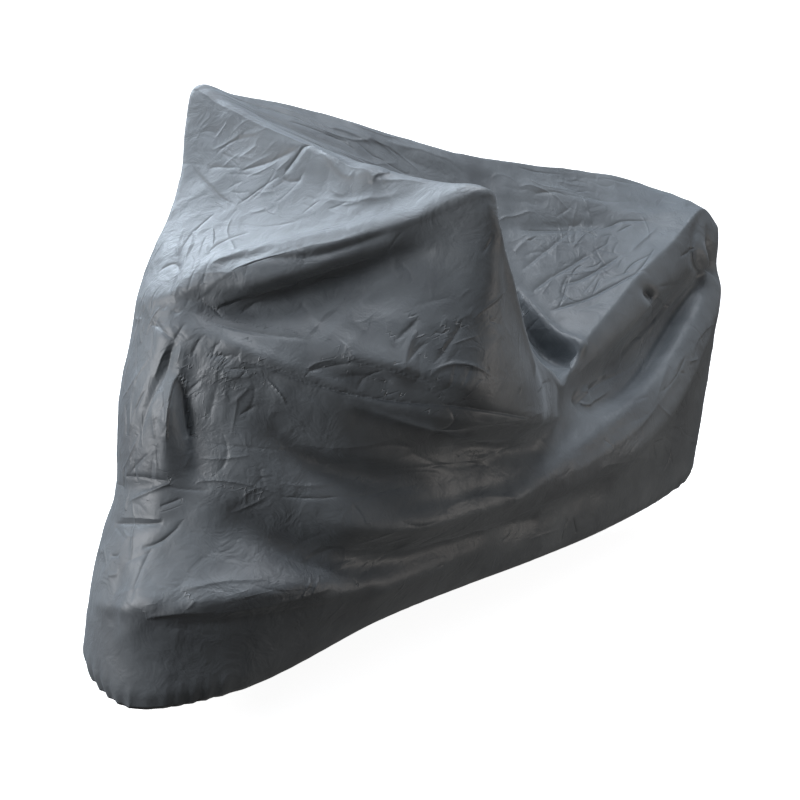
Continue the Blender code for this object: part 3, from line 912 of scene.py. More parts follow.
# The cloth's own second folds, between a finger and a hand wide, which are too fine for the shell.
LATER_FOLDS = (
    Fold("crest", Side.TOP, start=(-0.445, 0.43), middle=(-0.405, 0.12), end=(-0.375, -0.15),
         rises=(0.000, 0.012, 0.012), widths=(0.022, 0.022), peak=1.3),
    Fold("crest end", Side.TOP, start=(-0.375, -0.15), middle=(-0.34, -0.28), end=(-0.31, -0.40),
         rises=(0.010, 0.006, 0.006), widths=(0.030, 0.030), peak=1.6),
    Fold("brow edge", Side.TOP, start=(-0.74, 0.00), middle=(-0.56, -0.14), end=(-0.34, -0.38),
         rises=(0.006, 0.012, 0.008), widths=(0.030, 0.030)),
    Fold("brow crease", Side.LEFT, start=(-0.72, 0.850), middle=(-0.62, 0.882), end=(-0.42, 0.968),
         rises=(-0.010, -0.024, -0.010), widths=(0.010, 0.030), peak=1.5),
    Fold("brow second ridge", Side.LEFT, start=(-0.71, 0.893), middle=(-0.62, 0.920), end=(-0.46, 0.980),
         rises=(0.006, 0.020, 0.006), widths=(0.020, 0.012), peak=1.5),
    Fold("panel edge ridge", Side.LEFT, start=(-0.62, 0.768), middle=(-0.53, 0.752), end=(-0.40, 0.700),
         rises=(0.003, 0.014, 0.008), widths=(0.030, 0.012), peak=1.5),
    Fold("panel edge wedge", Side.LEFT, start=(-0.60, 0.738), middle=(-0.50, 0.712), end=(-0.38, 0.672),
         rises=(-0.004, -0.016, -0.006), widths=(0.014, 0.022), peak=1.5),
    Fold("first strip", Side.LEFT, start=(-0.62, 0.705), middle=(-0.457, 0.655), end=(-0.20, 0.600),
         rises=(0.003, 0.014, 0.006), widths=(0.009, 0.024), peak=1.5),
    Fold("panel edge end", Side.LEFT, start=(-0.30, 0.632), middle=(-0.10, 0.570), end=(0.13, 0.52),
         rises=(0.004, 0.012, 0.006), widths=(0.022, 0.016), peak=1.6),
    Fold("knot ridge", Side.LEFT, start=(-0.76, 0.81), middle=(-0.69, 0.762), end=(-0.60, 0.712),
         rises=(0.004, 0.010, 0.004), widths=(0.020, 0.012), peak=1.5),
    Fold("knot hollow", Side.LEFT, start=(-0.75, 0.775), middle=(-0.68, 0.725), end=(-0.60, 0.680),
         rises=(-0.004, -0.012, -0.006), widths=(0.014, 0.022), peak=1.5),
    Fold("belly hollow", Side.LEFT, start=(-0.645, 0.724), middle=(-0.43, 0.590), end=(-0.01, 0.470),
         rises=(-0.006, -0.024, -0.010), widths=(0.018, 0.026), peak=1.7),
    Fold("waist line", Side.LEFT, start=(-0.40, 0.585), middle=(-0.33, 0.600), end=(-0.19, 0.596),
         rises=(-0.003, -0.009, -0.003), widths=(0.012, 0.016), peak=1.7),
    Fold("waist ridge", Side.LEFT, start=(-0.40, 0.564), middle=(-0.30, 0.562), end=(-0.12, 0.540),
         rises=(0.001, 0.007, 0.001), widths=(0.014, 0.022), peak=2.0),
    Fold("second strip", Side.LEFT, start=(-0.65, 0.615), middle=(-0.55, 0.563), end=(-0.31, 0.492),
         rises=(0.003, 0.013, 0.004), widths=(0.022, 0.014), peak=1.6),
    Fold("second hollow", Side.LEFT, start=(-0.68, 0.600), middle=(-0.57, 0.528), end=(-0.38, 0.470),
         rises=(-0.006, -0.022, -0.008), widths=(0.016, 0.026), peak=1.7),
    Fold("third line", Side.LEFT, start=(-0.46, 0.448), middle=(-0.32, 0.441), end=(-0.16, 0.437),
         rises=(-0.003, -0.009, -0.003), widths=(0.009, 0.012), peak=1.5),
    Fold("swag front", Side.LEFT, start=(-0.65, 0.452), middle=(-0.50, 0.403), end=(-0.12, 0.402),
         rises=(0.005, 0.016, 0.012), widths=(0.026, 0.018), peak=1.7),
    Fold("swag rear", Side.LEFT, start=(-0.15, 0.402), middle=(0.43, 0.510), end=(0.88, 0.715),
         rises=(0.010, 0.018, 0.010), widths=(0.022, 0.026), peak=1.7),
    Fold("swag second", Side.LEFT, start=(0.10, 0.40), middle=(0.45, 0.47), end=(0.86, 0.66),
         rises=(0.004, 0.008, 0.004), widths=(0.018, 0.014), peak=1.5),
    Fold("knee dark", Side.LEFT, start=(-0.74, 0.430), middle=(-0.65, 0.362), end=(-0.48, 0.335),
         rises=(-0.006, -0.020, -0.010), widths=(0.030, 0.030)),
    Fold("under swag", Side.LEFT, start=(-0.60, 0.328), middle=(-0.34, 0.300), end=(0.04, 0.268),
         rises=(-0.008, -0.022, -0.010), widths=(0.014, 0.028), peak=1.7),
    Fold("knee ledge", Side.LEFT, start=(-0.94, 0.295), middle=(-0.81, 0.315), end=(-0.60, 0.312),
         rises=(0.008, 0.018, 0.008), widths=(0.034, 0.013), peak=1.6),
    Fold("under ledge", Side.LEFT, start=(-0.95, 0.266), middle=(-0.80, 0.268), end=(-0.55, 0.262),
         rises=(-0.008, -0.018, -0.010), widths=(0.012, 0.034), peak=1.6),
    Fold("ledge front", Side.FRONT, start=(0.02, 0.258), middle=(-0.06, 0.275), end=(-0.15, 0.30),
         rises=(0.003, 0.010, 0.008), widths=(0.028, 0.014), peak=1.6),
    Fold("front trough", Side.LEFT, start=(-0.808, 0.72), middle=(-0.814, 0.65), end=(-0.818, 0.55),
         rises=(-0.010, -0.018, -0.004), widths=(0.013, 0.013), peak=1.6),
    Fold("front rib", Side.FRONT, start=(-0.045, 0.76), middle=(-0.062, 0.67), end=(-0.080, 0.55),
         rises=(0.004, 0.014, 0.004), widths=(0.014, 0.014), peak=1.6),
    Fold("front valley", Side.FRONT, start=(-0.030, 0.79), middle=(-0.015, 0.70), end=(0.000, 0.60),
         rises=(-0.004, -0.011, -0.003), widths=(0.012, 0.012), peak=1.6),
    Fold("front fold high", Side.FRONT, start=(0.05, 0.488), middle=(-0.02, 0.503), end=(-0.075, 0.514),
         rises=(-0.004, -0.010, -0.004), widths=(0.012, 0.014), peak=1.6),
    Fold("front fold low", Side.FRONT, start=(0.05, 0.412), middle=(-0.04, 0.434), end=(-0.095, 0.443),
         rises=(-0.003, -0.007, -0.003), widths=(0.010, 0.012), peak=1.6),
    Fold("tail hollow line", Side.LEFT, start=(0.25, 0.515), middle=(0.57, 0.582), end=(0.95, 0.800),
         rises=(-0.008, -0.034, -0.018), widths=(0.016, 0.020), peak=1.8),
    Fold("tail shoulder", Side.LEFT, start=(0.32, 0.565), middle=(0.63, 0.650), end=(0.91, 0.800),
         rises=(0.004, 0.014, 0.006), widths=(0.026, 0.012), peak=1.7),
    Fold("tail pit", Side.LEFT, start=(0.57, 0.780), middle=(0.603, 0.762), end=(0.64, 0.740),
         rises=(-0.006, -0.026, -0.004), widths=(0.013, 0.015), peak=1.6),
    Fold("tail corner crease", Side.LEFT, start=(0.91, 0.95), middle=(0.845, 0.86), end=(0.91, 0.79),
         rises=(-0.004, -0.012, -0.010), widths=(0.014, 0.014), peak=1.6),
    Fold("tail pouch", Side.LEFT, start=(0.88, 0.88), middle=(0.905, 0.83), end=(0.95, 0.785),
         rises=(0.006, 0.016, 0.008), widths=(0.016, 0.016), peak=1.8),
    Fold("behind pouch", Side.LEFT, start=(0.935, 0.90), middle=(0.945, 0.85), end=(0.975, 0.79),
         rises=(-0.006, -0.020, -0.014), widths=(0.013, 0.013), peak=1.7),
    Fold("saddle groove", Side.TOP, start=(0.212, -0.03), middle=(0.220, -0.13), end=(0.225, -0.22),
         rises=(-0.024, -0.050, -0.026), widths=(0.018, 0.018), peak=1.8),
    Fold("saddle ledge", Side.TOP, start=(0.242, -0.05), middle=(0.258, -0.13), end=(0.276, -0.23),
         rises=(0.010, 0.026, 0.014), widths=(0.014, 0.014), peak=1.6),
    Fold("pocket lip", Side.TOP, start=(0.02, -0.310), middle=(0.13, -0.255), end=(0.20, -0.232),
         rises=(0.006, 0.016, 0.004), widths=(0.016, 0.016), peak=1.6),
    Fold("notch edge", Side.LEFT, start=(-0.305, 1.05), middle=(-0.24, 0.92), end=(-0.13, 0.71),
         rises=(0.004, 0.010, 0.008), widths=(0.014, 0.014), peak=1.4),
    Fold("saddle back", Side.TOP, start=(0.33, 0.100), middle=(0.50, 0.060), end=(0.66, 0.010),
         rises=(-0.006, -0.016, -0.006), widths=(0.016, 0.016), peak=1.5),
    Fold("far rim line", Side.TOP, start=(0.36, 0.165), middle=(0.56, 0.115), end=(0.84, -0.05),
         rises=(0.004, 0.012, 0.004), widths=(0.026, 0.026), peak=1.6),
    Fold("rear top line", Side.TOP, start=(-0.42, 0.34), middle=(-0.25, 0.27), end=(-0.04, 0.235),
         rises=(-0.004, -0.009, -0.005), widths=(0.013, 0.013), peak=1.5),
    Fold("rear top ridge", Side.TOP, start=(-0.10, 0.30), middle=(0.10, 0.262), end=(0.36, 0.205),
         rises=(0.004, 0.009, 0.004), widths=(0.014, 0.014), peak=1.5),
)

# Crisp creases: the marks of packing, and the puckers round what holds the cloth up.
CREASES = (
    Crease("slope long", Side.TOP, (-0.53, 0.30), (-0.54, 0.20), (-0.54, 0.115), -0.0030, 0.0035),
    Crease("slope dark", Side.TOP, (-0.49, 0.18), (-0.445, 0.115), (-0.41, 0.05), -0.0035, 0.0035),
    Crease("slope tuck", Side.TOP, (-0.445, 0.065), (-0.415, 0.045), (-0.385, 0.03), -0.0050, 0.0040, 0.5),
    Crease("slope fine a", Side.TOP, (-0.49, 0.275), (-0.465, 0.25), (-0.44, 0.22), 0.0012, 0.003),
    Crease("slope fine b", Side.TOP, (-0.49, 0.26), (-0.457, 0.234), (-0.433, 0.18), -0.0014, 0.003),
    Crease("slope fine c", Side.TOP, (-0.47, 0.20), (-0.45, 0.18), (-0.44, 0.165), 0.0012, 0.003),
    Crease("slope fine d", Side.TOP, (-0.515, 0.257), (-0.50, 0.224), (-0.482, 0.177), -0.0018, 0.003),
    Crease("slope return", Side.TOP, (-0.54, 0.115), (-0.494, 0.094), (-0.45, 0.07), -0.0014, 0.003),
    Crease("slope pit", Side.TOP, (-0.451, 0.063), (-0.448, 0.03), (-0.435, 0.01), -0.0028, 0.004),
    Crease("slope facet", Side.TOP, (-0.394, 0.00), (-0.399, -0.057), (-0.402, -0.127), 0.0030, 0.005, 0.6),
    Crease("slope short", Side.TOP, (-0.49, -0.058), (-0.467, -0.063), (-0.449, -0.069), -0.0014, 0.003),
    Crease("brow light", Side.TOP, (-0.446, -0.065), (-0.416, -0.163), (-0.378, -0.246),
           0.0022, 0.005, -0.4),
    Crease("slope fine e", Side.TOP, (-0.507, 0.206), (-0.485, 0.158), (-0.466, 0.109), -0.0008, 0.003),
    Crease("slope fine f", Side.TOP, (-0.523, 0.175), (-0.509, 0.164), (-0.496, 0.151), -0.0008, 0.003),
    Crease("foot line", Side.TOP, (-0.678, 0.023), (-0.632, 0.03), (-0.583, 0.004), -0.0024, 0.004, 0.6),
    Crease("foot fine", Side.TOP, (-0.571, 0.057), (-0.555, -0.002), (-0.504, -0.069), -0.0012, 0.004),
    Crease("foot fan a", Side.TOP, (-0.636, 0.139), (-0.607, 0.142), (-0.578, 0.145), -0.0020, 0.003),
    Crease("foot fan b", Side.TOP, (-0.72, 0.082), (-0.673, 0.122), (-0.632, 0.145), -0.0018, 0.003),
    Crease("foot fan c", Side.TOP, (-0.768, 0.009), (-0.72, 0.058), (-0.665, 0.111), 0.0014, 0.004),
    Crease("foot fan d", Side.TOP, (-0.70, 0.11), (-0.67, 0.145), (-0.64, 0.18), 0.0016, 0.003),
    Crease("foot light", Side.LEFT, (-0.729, 0.921), (-0.714, 0.926), (-0.69, 0.93), 0.0014, 0.003),
    Crease("furrow", Side.LEFT, (-0.705, 0.934), (-0.665, 0.954), (-0.595, 0.957), -0.0070, 0.009),
    Crease("furrow end", Side.LEFT, (-0.60, 0.957), (-0.528, 0.974), (-0.449, 1.010), -0.0060, 0.010),
    Crease("furrow pit", Side.LEFT, (-0.676, 0.929), (-0.671, 0.940), (-0.660, 0.953), -0.0030, 0.004),
    Crease("brow rim", Side.LEFT, (-0.72, 0.850), (-0.654, 0.879), (-0.58, 0.898), -0.0060, 0.005, -0.6),
    Crease("brow rim end", Side.LEFT, (-0.59, 0.905), (-0.545, 0.926), (-0.46, 0.956), -0.0040, 0.005, -0.6),
    Crease("crest line", Side.TOP, (-0.450, 0.46), (-0.42, 0.200), (-0.389, 0.01), 0.0024, 0.004),
    Crease("crest line end", Side.TOP, (-0.389, 0.02), (-0.387, -0.077), (-0.389, -0.175), 0.0030, 0.004),
    Crease("crest knot", Side.TOP, (-0.395, -0.17), (-0.375, -0.175), (-0.36, -0.19), 0.0050, 0.006),
    Crease("crest line low", Side.TOP, (-0.39, -0.175), (-0.36, -0.23), (-0.345, -0.29), 0.0020, 0.004),
    Crease("nose hook", Side.FRONT, (0.125, 0.915), (0.09, 0.930), (0.05, 0.918), -0.0035, 0.004),
    Crease("nose drop", Side.FRONT, (0.06, 0.922), (0.035, 0.902), (0.02, 0.875), 0.0020, 0.004),
    Crease("nose side", Side.FRONT, (0.053, 0.815), (0.016, 0.813), (-0.025, 0.795), -0.0024, 0.004),
    Crease("nose side lit", Side.FRONT, (0.065, 0.795), (0.057, 0.828), (0.038, 0.856), 0.0016, 0.003),
    Crease("nose low lit", Side.FRONT, (0.027, 0.752), (0.050, 0.719), (0.058, 0.690), 0.0020, 0.004),
    Crease("nose valley", Side.FRONT, (-0.030, 0.690), (-0.024, 0.739), (-0.028, 0.790), -0.0050, 0.007),
    Crease("nose fold lit", Side.FRONT, (-0.048, 0.745), (-0.061, 0.679), (-0.079, 0.600), 0.0060, 0.008),
    Crease("nose fold dark", Side.LEFT, (-0.808, 0.712), (-0.812, 0.656), (-0.815, 0.597), -0.0060, 0.008),
    Crease("front tuck a", Side.FRONT, (0.044, 0.508), (-0.028, 0.522), (-0.086, 0.520),
           -0.0038, 0.004, 0.4),
    Crease("front tuck b", Side.FRONT, (0.010, 0.464), (-0.056, 0.500), (-0.088, 0.518), 0.0030, 0.004),
    Crease("front tuck c", Side.FRONT, (-0.080, 0.471), (-0.096, 0.479), (-0.108, 0.488), -0.0020, 0.003),
    Crease("front tuck d", Side.FRONT, (0.034, 0.426), (-0.042, 0.441), (-0.091, 0.446), 0.0022, 0.004),
    Crease("front tuck e", Side.FRONT, (0.049, 0.409), (-0.045, 0.430), (-0.095, 0.440), -0.0034, 0.004),
    Crease("front tuck f", Side.FRONT, (-0.075, 0.393), (-0.110, 0.410), (-0.122, 0.445), -0.0026, 0.004),
    Crease("front upright", Side.FRONT, (-0.004, 0.470), (-0.035, 0.410), (-0.069, 0.360), 0.0014, 0.003),
    Crease("front slant", Side.FRONT, (-0.098, 0.395), (-0.103, 0.360), (-0.126, 0.303), -0.0014, 0.004),
    Crease("panel band a", Side.LEFT, (-0.623, 0.798), (-0.569, 0.838), (-0.517, 0.875), 0.0012, 0.004, 0.8),
    Crease("panel band b", Side.LEFT, (-0.594, 0.798), (-0.548, 0.835), (-0.468, 0.895),
           0.0012, 0.004, -0.8),
    Crease("panel short", Side.LEFT, (-0.573, 0.800), (-0.568, 0.780), (-0.571, 0.760), 0.0014, 0.003),
    Crease("panel wedge a", Side.LEFT, (-0.637, 0.738), (-0.599, 0.749), (-0.568, 0.758), -0.0024, 0.004),
    Crease("panel wedge b", Side.LEFT, (-0.634, 0.742), (-0.613, 0.757), (-0.590, 0.762), 0.0016, 0.003),
    Crease("panel edge", Side.LEFT, (-0.575, 0.760), (-0.529, 0.745), (-0.440, 0.706), -0.0036, 0.005, 0.5),
    Crease("panel edge low", Side.LEFT, (-0.680, 0.740), (-0.572, 0.693), (-0.420, 0.667),
           -0.0036, 0.004, 0.6),
    Crease("panel edge end", Side.LEFT, (-0.430, 0.668), (-0.339, 0.648), (-0.150, 0.591),
           -0.0032, 0.004, 0.6),
    Crease("panel taut", Side.LEFT, (-0.750, 0.835), (-0.690, 0.811), (-0.620, 0.801), -0.0020, 0.004, 0.5),
    Crease("knot line", Side.LEFT, (-0.725, 0.755), (-0.693, 0.748), (-0.620, 0.715), 0.0024, 0.004, 0.5),
    Crease("knot fine", Side.LEFT, (-0.758, 0.743), (-0.726, 0.742), (-0.695, 0.743), -0.0018, 0.003),
    Crease("knot pit", Side.LEFT, (-0.756, 0.765), (-0.748, 0.768), (-0.740, 0.757), -0.0030, 0.004),
    Crease("panel pleat lit", Side.LEFT, (-0.499, 0.740), (-0.478, 0.781), (-0.455, 0.818), 0.0036, 0.006),
    Crease("panel pleat dark", Side.LEFT, (-0.492, 0.798), (-0.466, 0.819), (-0.440, 0.843), -0.0028, 0.005),
    Crease("panel slant", Side.LEFT, (-0.437, 0.758), (-0.409, 0.790), (-0.375, 0.834), -0.0024, 0.005),
    Crease("panel foot", Side.LEFT, (-0.456, 0.733), (-0.397, 0.753), (-0.330, 0.720), 0.0026, 0.005),
    Crease("panel cross", Side.LEFT, (-0.356, 0.838), (-0.325, 0.862), (-0.265, 0.885), 0.0014, 0.003, 0.5),
    Crease("grip mark", Side.LEFT, (-0.328, 0.968), (-0.314, 0.985), (-0.306, 1.003), -0.0014, 0.003),
    Crease("knot ray a", Side.LEFT, (-0.675, 0.844), (-0.661, 0.854), (-0.641, 0.867), -0.0018, 0.004),
    Crease("knot ray b", Side.LEFT, (-0.731, 0.862), (-0.718, 0.849), (-0.713, 0.833), -0.0022, 0.004),
    Crease("knot ray c", Side.LEFT, (-0.759, 0.720), (-0.770, 0.678), (-0.781, 0.638), -0.0012, 0.004),
    Crease("panel under", Side.LEFT, (-0.590, 0.727), (-0.534, 0.728), (-0.505, 0.712), -0.0030, 0.006),
    Crease("belly line a", Side.LEFT, (-0.822, 0.514), (-0.775, 0.520), (-0.705, 0.495), 0.0014, 0.003, 0.5),
    Crease("belly line b", Side.LEFT, (-0.702, 0.490), (-0.654, 0.484), (-0.588, 0.481), -0.0014, 0.003),
    Crease("belly line c", Side.LEFT, (-0.590, 0.481), (-0.520, 0.474), (-0.400, 0.478), -0.0010, 0.003),
    Crease("belly slant a", Side.LEFT, (-0.774, 0.458), (-0.750, 0.469), (-0.724, 0.487), 0.0014, 0.003),
    Crease("belly slant b", Side.LEFT, (-0.763, 0.480), (-0.747, 0.499), (-0.728, 0.507), 0.0012, 0.003),
    Crease("belly level", Side.LEFT, (-0.805, 0.563), (-0.774, 0.565), (-0.734, 0.573), 0.0012, 0.003),
    Crease("knee line", Side.LEFT, (-0.917, 0.328), (-0.860, 0.345), (-0.764, 0.344), 0.0022, 0.004, 0.4),
    Crease("knee edge", Side.LEFT, (-0.975, 0.278), (-0.930, 0.290), (-0.873, 0.287), 0.0040, 0.006, 0.7),
    Crease("knee edge end", Side.LEFT, (-0.885, 0.287), (-0.777, 0.293), (-0.640, 0.303),
           0.0030, 0.007, 0.7),
    Crease("knee tuck a", Side.LEFT, (-0.712, 0.299), (-0.702, 0.316), (-0.684, 0.332), 0.0018, 0.003),
    Crease("knee tuck b", Side.LEFT, (-0.690, 0.300), (-0.680, 0.316), (-0.663, 0.330), 0.0016, 0.003),
    Crease("knee tuck c", Side.LEFT, (-0.920, 0.298), (-0.911, 0.310), (-0.902, 0.321), 0.0012, 0.003),
    Crease("pocket ray a", Side.LEFT, (0.250, 0.545), (0.366, 0.560), (0.490, 0.571), -0.0024, 0.004),
    Crease("pocket ray b", Side.LEFT, (0.248, 0.529), (0.290, 0.521), (0.390, 0.539), 0.0030, 0.005, 0.4),
    Crease("pit ray a", Side.LEFT, (0.597, 0.742), (0.635, 0.713), (0.677, 0.670), -0.0016, 0.004),
    Crease("pit ray b", Side.LEFT, (0.631, 0.756), (0.708, 0.725), (0.770, 0.699), 0.0014, 0.004),
    Crease("pit ray c", Side.LEFT, (0.637, 0.778), (0.741, 0.774), (0.877, 0.763), -0.0020, 0.005),
    Crease("pit", Side.LEFT, (0.588, 0.770), (0.606, 0.760), (0.622, 0.745), -0.0080, 0.007),
    Crease("swag nick a", Side.LEFT, (0.596, 0.642), (0.587, 0.621), (0.560, 0.598), -0.0018, 0.003),
    Crease("swag nick b", Side.LEFT, (0.581, 0.594), (0.581, 0.577), (0.556, 0.556), -0.0020, 0.004),
    Crease("swag nick c", Side.LEFT, (0.414, 0.513), (0.444, 0.515), (0.478, 0.515), -0.0016, 0.004),
    Crease("hem nick a", Side.LEFT, (0.205, 0.230), (0.190, 0.200), (0.194, 0.168), -0.0030, 0.004),
    Crease("hem nick b", Side.LEFT, (0.228, 0.228), (0.245, 0.197), (0.263, 0.172), -0.0026, 0.004),
    Crease("hem fine", Side.LEFT, (0.043, 0.215), (0.104, 0.216), (0.180, 0.210), 0.0010, 0.004),
    Crease("pouch rim", Side.LEFT, (0.862, 0.878), (0.868, 0.822), (0.940, 0.785), 0.0050, 0.006),
    Crease("pouch top", Side.LEFT, (0.776, 0.848), (0.823, 0.857), (0.862, 0.865), -0.0030, 0.004),
    Crease("fan a", Side.LEFT, (0.500, 0.500), (0.600, 0.430), (0.795, 0.313), 0.0012, 0.005),
    Crease("fan b", Side.LEFT, (0.230, 0.373), (0.344, 0.367), (0.670, 0.287), 0.0012, 0.005),
    Crease("fan c", Side.LEFT, (0.700, 0.245), (0.729, 0.267), (0.735, 0.300), -0.0030, 0.005),
    Crease("fan nick", Side.LEFT, (0.247, 0.446), (0.263, 0.437), (0.281, 0.418), -0.0012, 0.003),
    Crease("saddle back", Side.TOP, (0.370, 0.092), (0.461, 0.068), (0.560, 0.040), -0.0050, 0.005),
    Crease("saddle back b", Side.TOP, (0.560, 0.034), (0.575, 0.015), (0.586, -0.005), -0.0036, 0.004),
    Crease("saddle back c", Side.TOP, (0.615, 0.013), (0.701, 0.000), (0.782, -0.041), -0.0034, 0.004),
    Crease("saddle back d", Side.TOP, (0.655, -0.017), (0.688, -0.018), (0.724, -0.022), -0.0022, 0.003),
    Crease("saddle facet a", Side.TOP, (0.300, 0.050), (0.355, 0.062), (0.430, 0.070), 0.0020, 0.004, -0.7),
    Crease("saddle facet b", Side.TOP, (0.287, 0.010), (0.420, 0.024), (0.540, 0.040), -0.0024, 0.004, 0.7),
    Crease("saddle facet c", Side.TOP, (0.279, -0.040), (0.398, -0.033), (0.526, -0.037),
           -0.0036, 0.004, 0.7),
    Crease("saddle facet d", Side.TOP, (0.372, -0.056), (0.466, -0.079), (0.597, -0.085),
           -0.0036, 0.004, 0.5),
    Crease("saddle mark a", Side.TOP, (0.539, -0.138), (0.599, -0.127), (0.662, -0.135), -0.0026, 0.003),
    Crease("saddle mark b", Side.TOP, (0.568, -0.156), (0.618, -0.146), (0.690, -0.123), -0.0024, 0.003),
    Crease("saddle mark c", Side.TOP, (0.422, -0.125), (0.452, -0.113), (0.482, -0.102), -0.0020, 0.003),
    Crease("saddle ledge", Side.TOP, (0.290, -0.092), (0.421, -0.130), (0.616, -0.167),
           -0.0036, 0.0035, 0.5),
    Crease("saddle mark d", Side.TOP, (0.357, -0.070), (0.360, -0.095), (0.373, -0.118), -0.0024, 0.003),
    Crease("saddle mark e", Side.TOP, (0.398, -0.036), (0.450, -0.059), (0.504, -0.082), 0.0014, 0.003),
    Crease("rack line", Side.TOP, (0.626, -0.090), (0.695, -0.078), (0.772, -0.068), 0.0018, 0.004),
    Crease("rear line", Side.TOP, (0.371, 0.166), (0.557, 0.108), (0.831, 0.036), -0.0012, 0.004),
    Crease("rear peak", Side.TOP, (0.526, 0.080), (0.558, 0.056), (0.599, 0.054), -0.0024, 0.004),
)

CREASE_FIELDS = (
    CreaseField("slope", Side.TOP, centre=(-0.46, 0.16), spread=(0.08, 0.20), angle=115.0, fan=30.0,
                count=40, length=(0.03, 0.10), rise=0.0010, width=0.003, seed=11),
    CreaseField("slope foot", Side.TOP, centre=(-0.66, 0.08), spread=(0.07, 0.12), angle=40.0, fan=25.0,
                count=24, length=(0.04, 0.10), rise=0.0012, width=0.003, seed=12),
    CreaseField("brow", Side.TOP, centre=(-0.46, -0.16), spread=(0.10, 0.14), angle=100.0, fan=25.0,
                count=24, length=(0.03, 0.09), rise=0.0010, width=0.004, seed=26),
    CreaseField("rear top", Side.TOP, centre=(-0.06, 0.24), spread=(0.26, 0.12), angle=-18.0, fan=7.0,
                count=44, length=(0.10, 0.28), rise=0.0022, width=0.004, seed=13),
    CreaseField("saddle", Side.TOP, centre=(0.50, 0.00), spread=(0.26, 0.14), angle=0.0, fan=30.0,
                count=50, length=(0.04, 0.12), rise=0.0013, width=0.003, seed=14),
    CreaseField("rear crest", Side.TOP, centre=(0.60, 0.12), spread=(0.30, 0.05), angle=-16.0, fan=9.0,
                count=24, length=(0.06, 0.16), rise=0.0014, width=0.003, seed=28),
    CreaseField("nose uprights", Side.FRONT, centre=(0.02, 0.64), spread=(0.12, 0.24), angle=80.0, fan=22.0,
                count=34, length=(0.03, 0.12), rise=0.0016, width=0.004, seed=15),
    CreaseField("nose top", Side.FRONT, centre=(0.08, 0.84), spread=(0.08, 0.08), angle=60.0, fan=30.0,
                count=16, length=(0.02, 0.07), rise=0.0018, width=0.0035, seed=27),
    CreaseField("nose levels", Side.FRONT, centre=(0.00, 0.42), spread=(0.12, 0.14), angle=-8.0, fan=18.0,
                count=16, length=(0.03, 0.09), rise=0.0014, width=0.004, seed=16),
    CreaseField("near panel", Side.LEFT, centre=(-0.40, 0.82), spread=(0.18, 0.18), angle=52.0, fan=22.0,
                count=34, length=(0.02, 0.08), rise=0.0011, width=0.004, seed=17),
    CreaseField("knot", Side.LEFT, centre=(-0.74, 0.73), spread=(0.05, 0.08), angle=70.0, fan=40.0,
                count=20, length=(0.02, 0.06), rise=0.0014, width=0.0035, seed=18),
    CreaseField("knee upright", Side.LEFT, centre=(-0.76, 0.60), spread=(0.08, 0.16), angle=84.0, fan=14.0,
                count=20, length=(0.03, 0.10), rise=0.0012, width=0.004, seed=29),
    CreaseField("belly", Side.LEFT, centre=(-0.30, 0.55), spread=(0.40, 0.12), angle=-9.0, fan=7.0,
                count=36, length=(0.08, 0.26), rise=0.0015, width=0.005, seed=19),
    CreaseField("knee", Side.LEFT, centre=(-0.60, 0.34), spread=(0.36, 0.08), angle=8.0, fan=20.0,
                count=26, length=(0.04, 0.16), rise=0.0012, width=0.004, seed=20),
    CreaseField("skirt", Side.LEFT, centre=(-0.40, 0.21), spread=(0.60, 0.06), angle=55.0, fan=28.0,
                count=30, length=(0.02, 0.07), rise=0.0008, width=0.004, seed=21),
    CreaseField("tail swags", Side.LEFT, centre=(0.52, 0.60), spread=(0.34, 0.12), angle=27.0, fan=7.0,
                count=30, length=(0.08, 0.28), rise=0.0016, width=0.005, seed=22),
    CreaseField("tail fan", Side.LEFT, centre=(0.74, 0.40), spread=(0.16, 0.20), angle=-28.0, fan=22.0,
                count=44, length=(0.03, 0.12), rise=0.0014, width=0.004, seed=23),
    CreaseField("tail end", Side.REAR, centre=(0.00, 0.60), spread=(0.12, 0.36), angle=84.0, fan=16.0,
                count=34, length=(0.06, 0.22), rise=0.0030, width=0.005, seed=24),
    CreaseField("right swags", Side.RIGHT, centre=(0.10, 0.68), spread=(0.70, 0.26), angle=-6.0, fan=12.0,
                count=70, length=(0.12, 0.45), rise=0.0035, width=0.006, seed=25),
    CreaseField("right skirt", Side.RIGHT, centre=(0.00, 0.32), spread=(0.80, 0.14), angle=2.0, fan=12.0,
                count=50, length=(0.10, 0.36), rise=0.0030, width=0.006, seed=30),
)


def linear(hex_colour: str) -> tuple[float, float, float, float]:
    """Turns an sRGB hex colour into linear RGBA.

    Args:
        hex_colour: A colour such as "#8090a0".

    Returns:
        The linear colour, opaque.
    """
    text = hex_colour.lstrip("#")
    channels = []
    for start in (0, 2, 4):
        value = int(text[start:start + 2], 16) / 255.0
        channels.append(value / 12.92 if value <= 0.04045 else ((value + 0.055) / 1.055) ** 2.4)
    return (channels[0], channels[1], channels[2], 1.0)


def add_node(tree: bpy.types.NodeTree, kind: str, settings: dict | None = None,
             **inputs: object) -> bpy.types.Node:
    """Adds a node, sets its properties and sets or links its inputs.

    Args:
        tree: The material's node tree.
        kind: The node's type name without its prefix.
        settings: Properties of the node itself.
        **inputs: Values or output sockets by input name, with _ for each space.

    Returns:
        The node.
    """
    node = tree.nodes.new("ShaderNode" + kind)
    for name, value in (settings or {}).items():
        setattr(node, name, value)
    for name, value in inputs.items():
        if name.startswith("at_"):
            target = node.inputs[int(name[3:])]
        else:
            target = node.inputs[name.replace("_", " ")]
        if isinstance(value, bpy.types.NodeSocket):
            tree.links.new(value, target)
        else:
            target.default_value = value
    return node


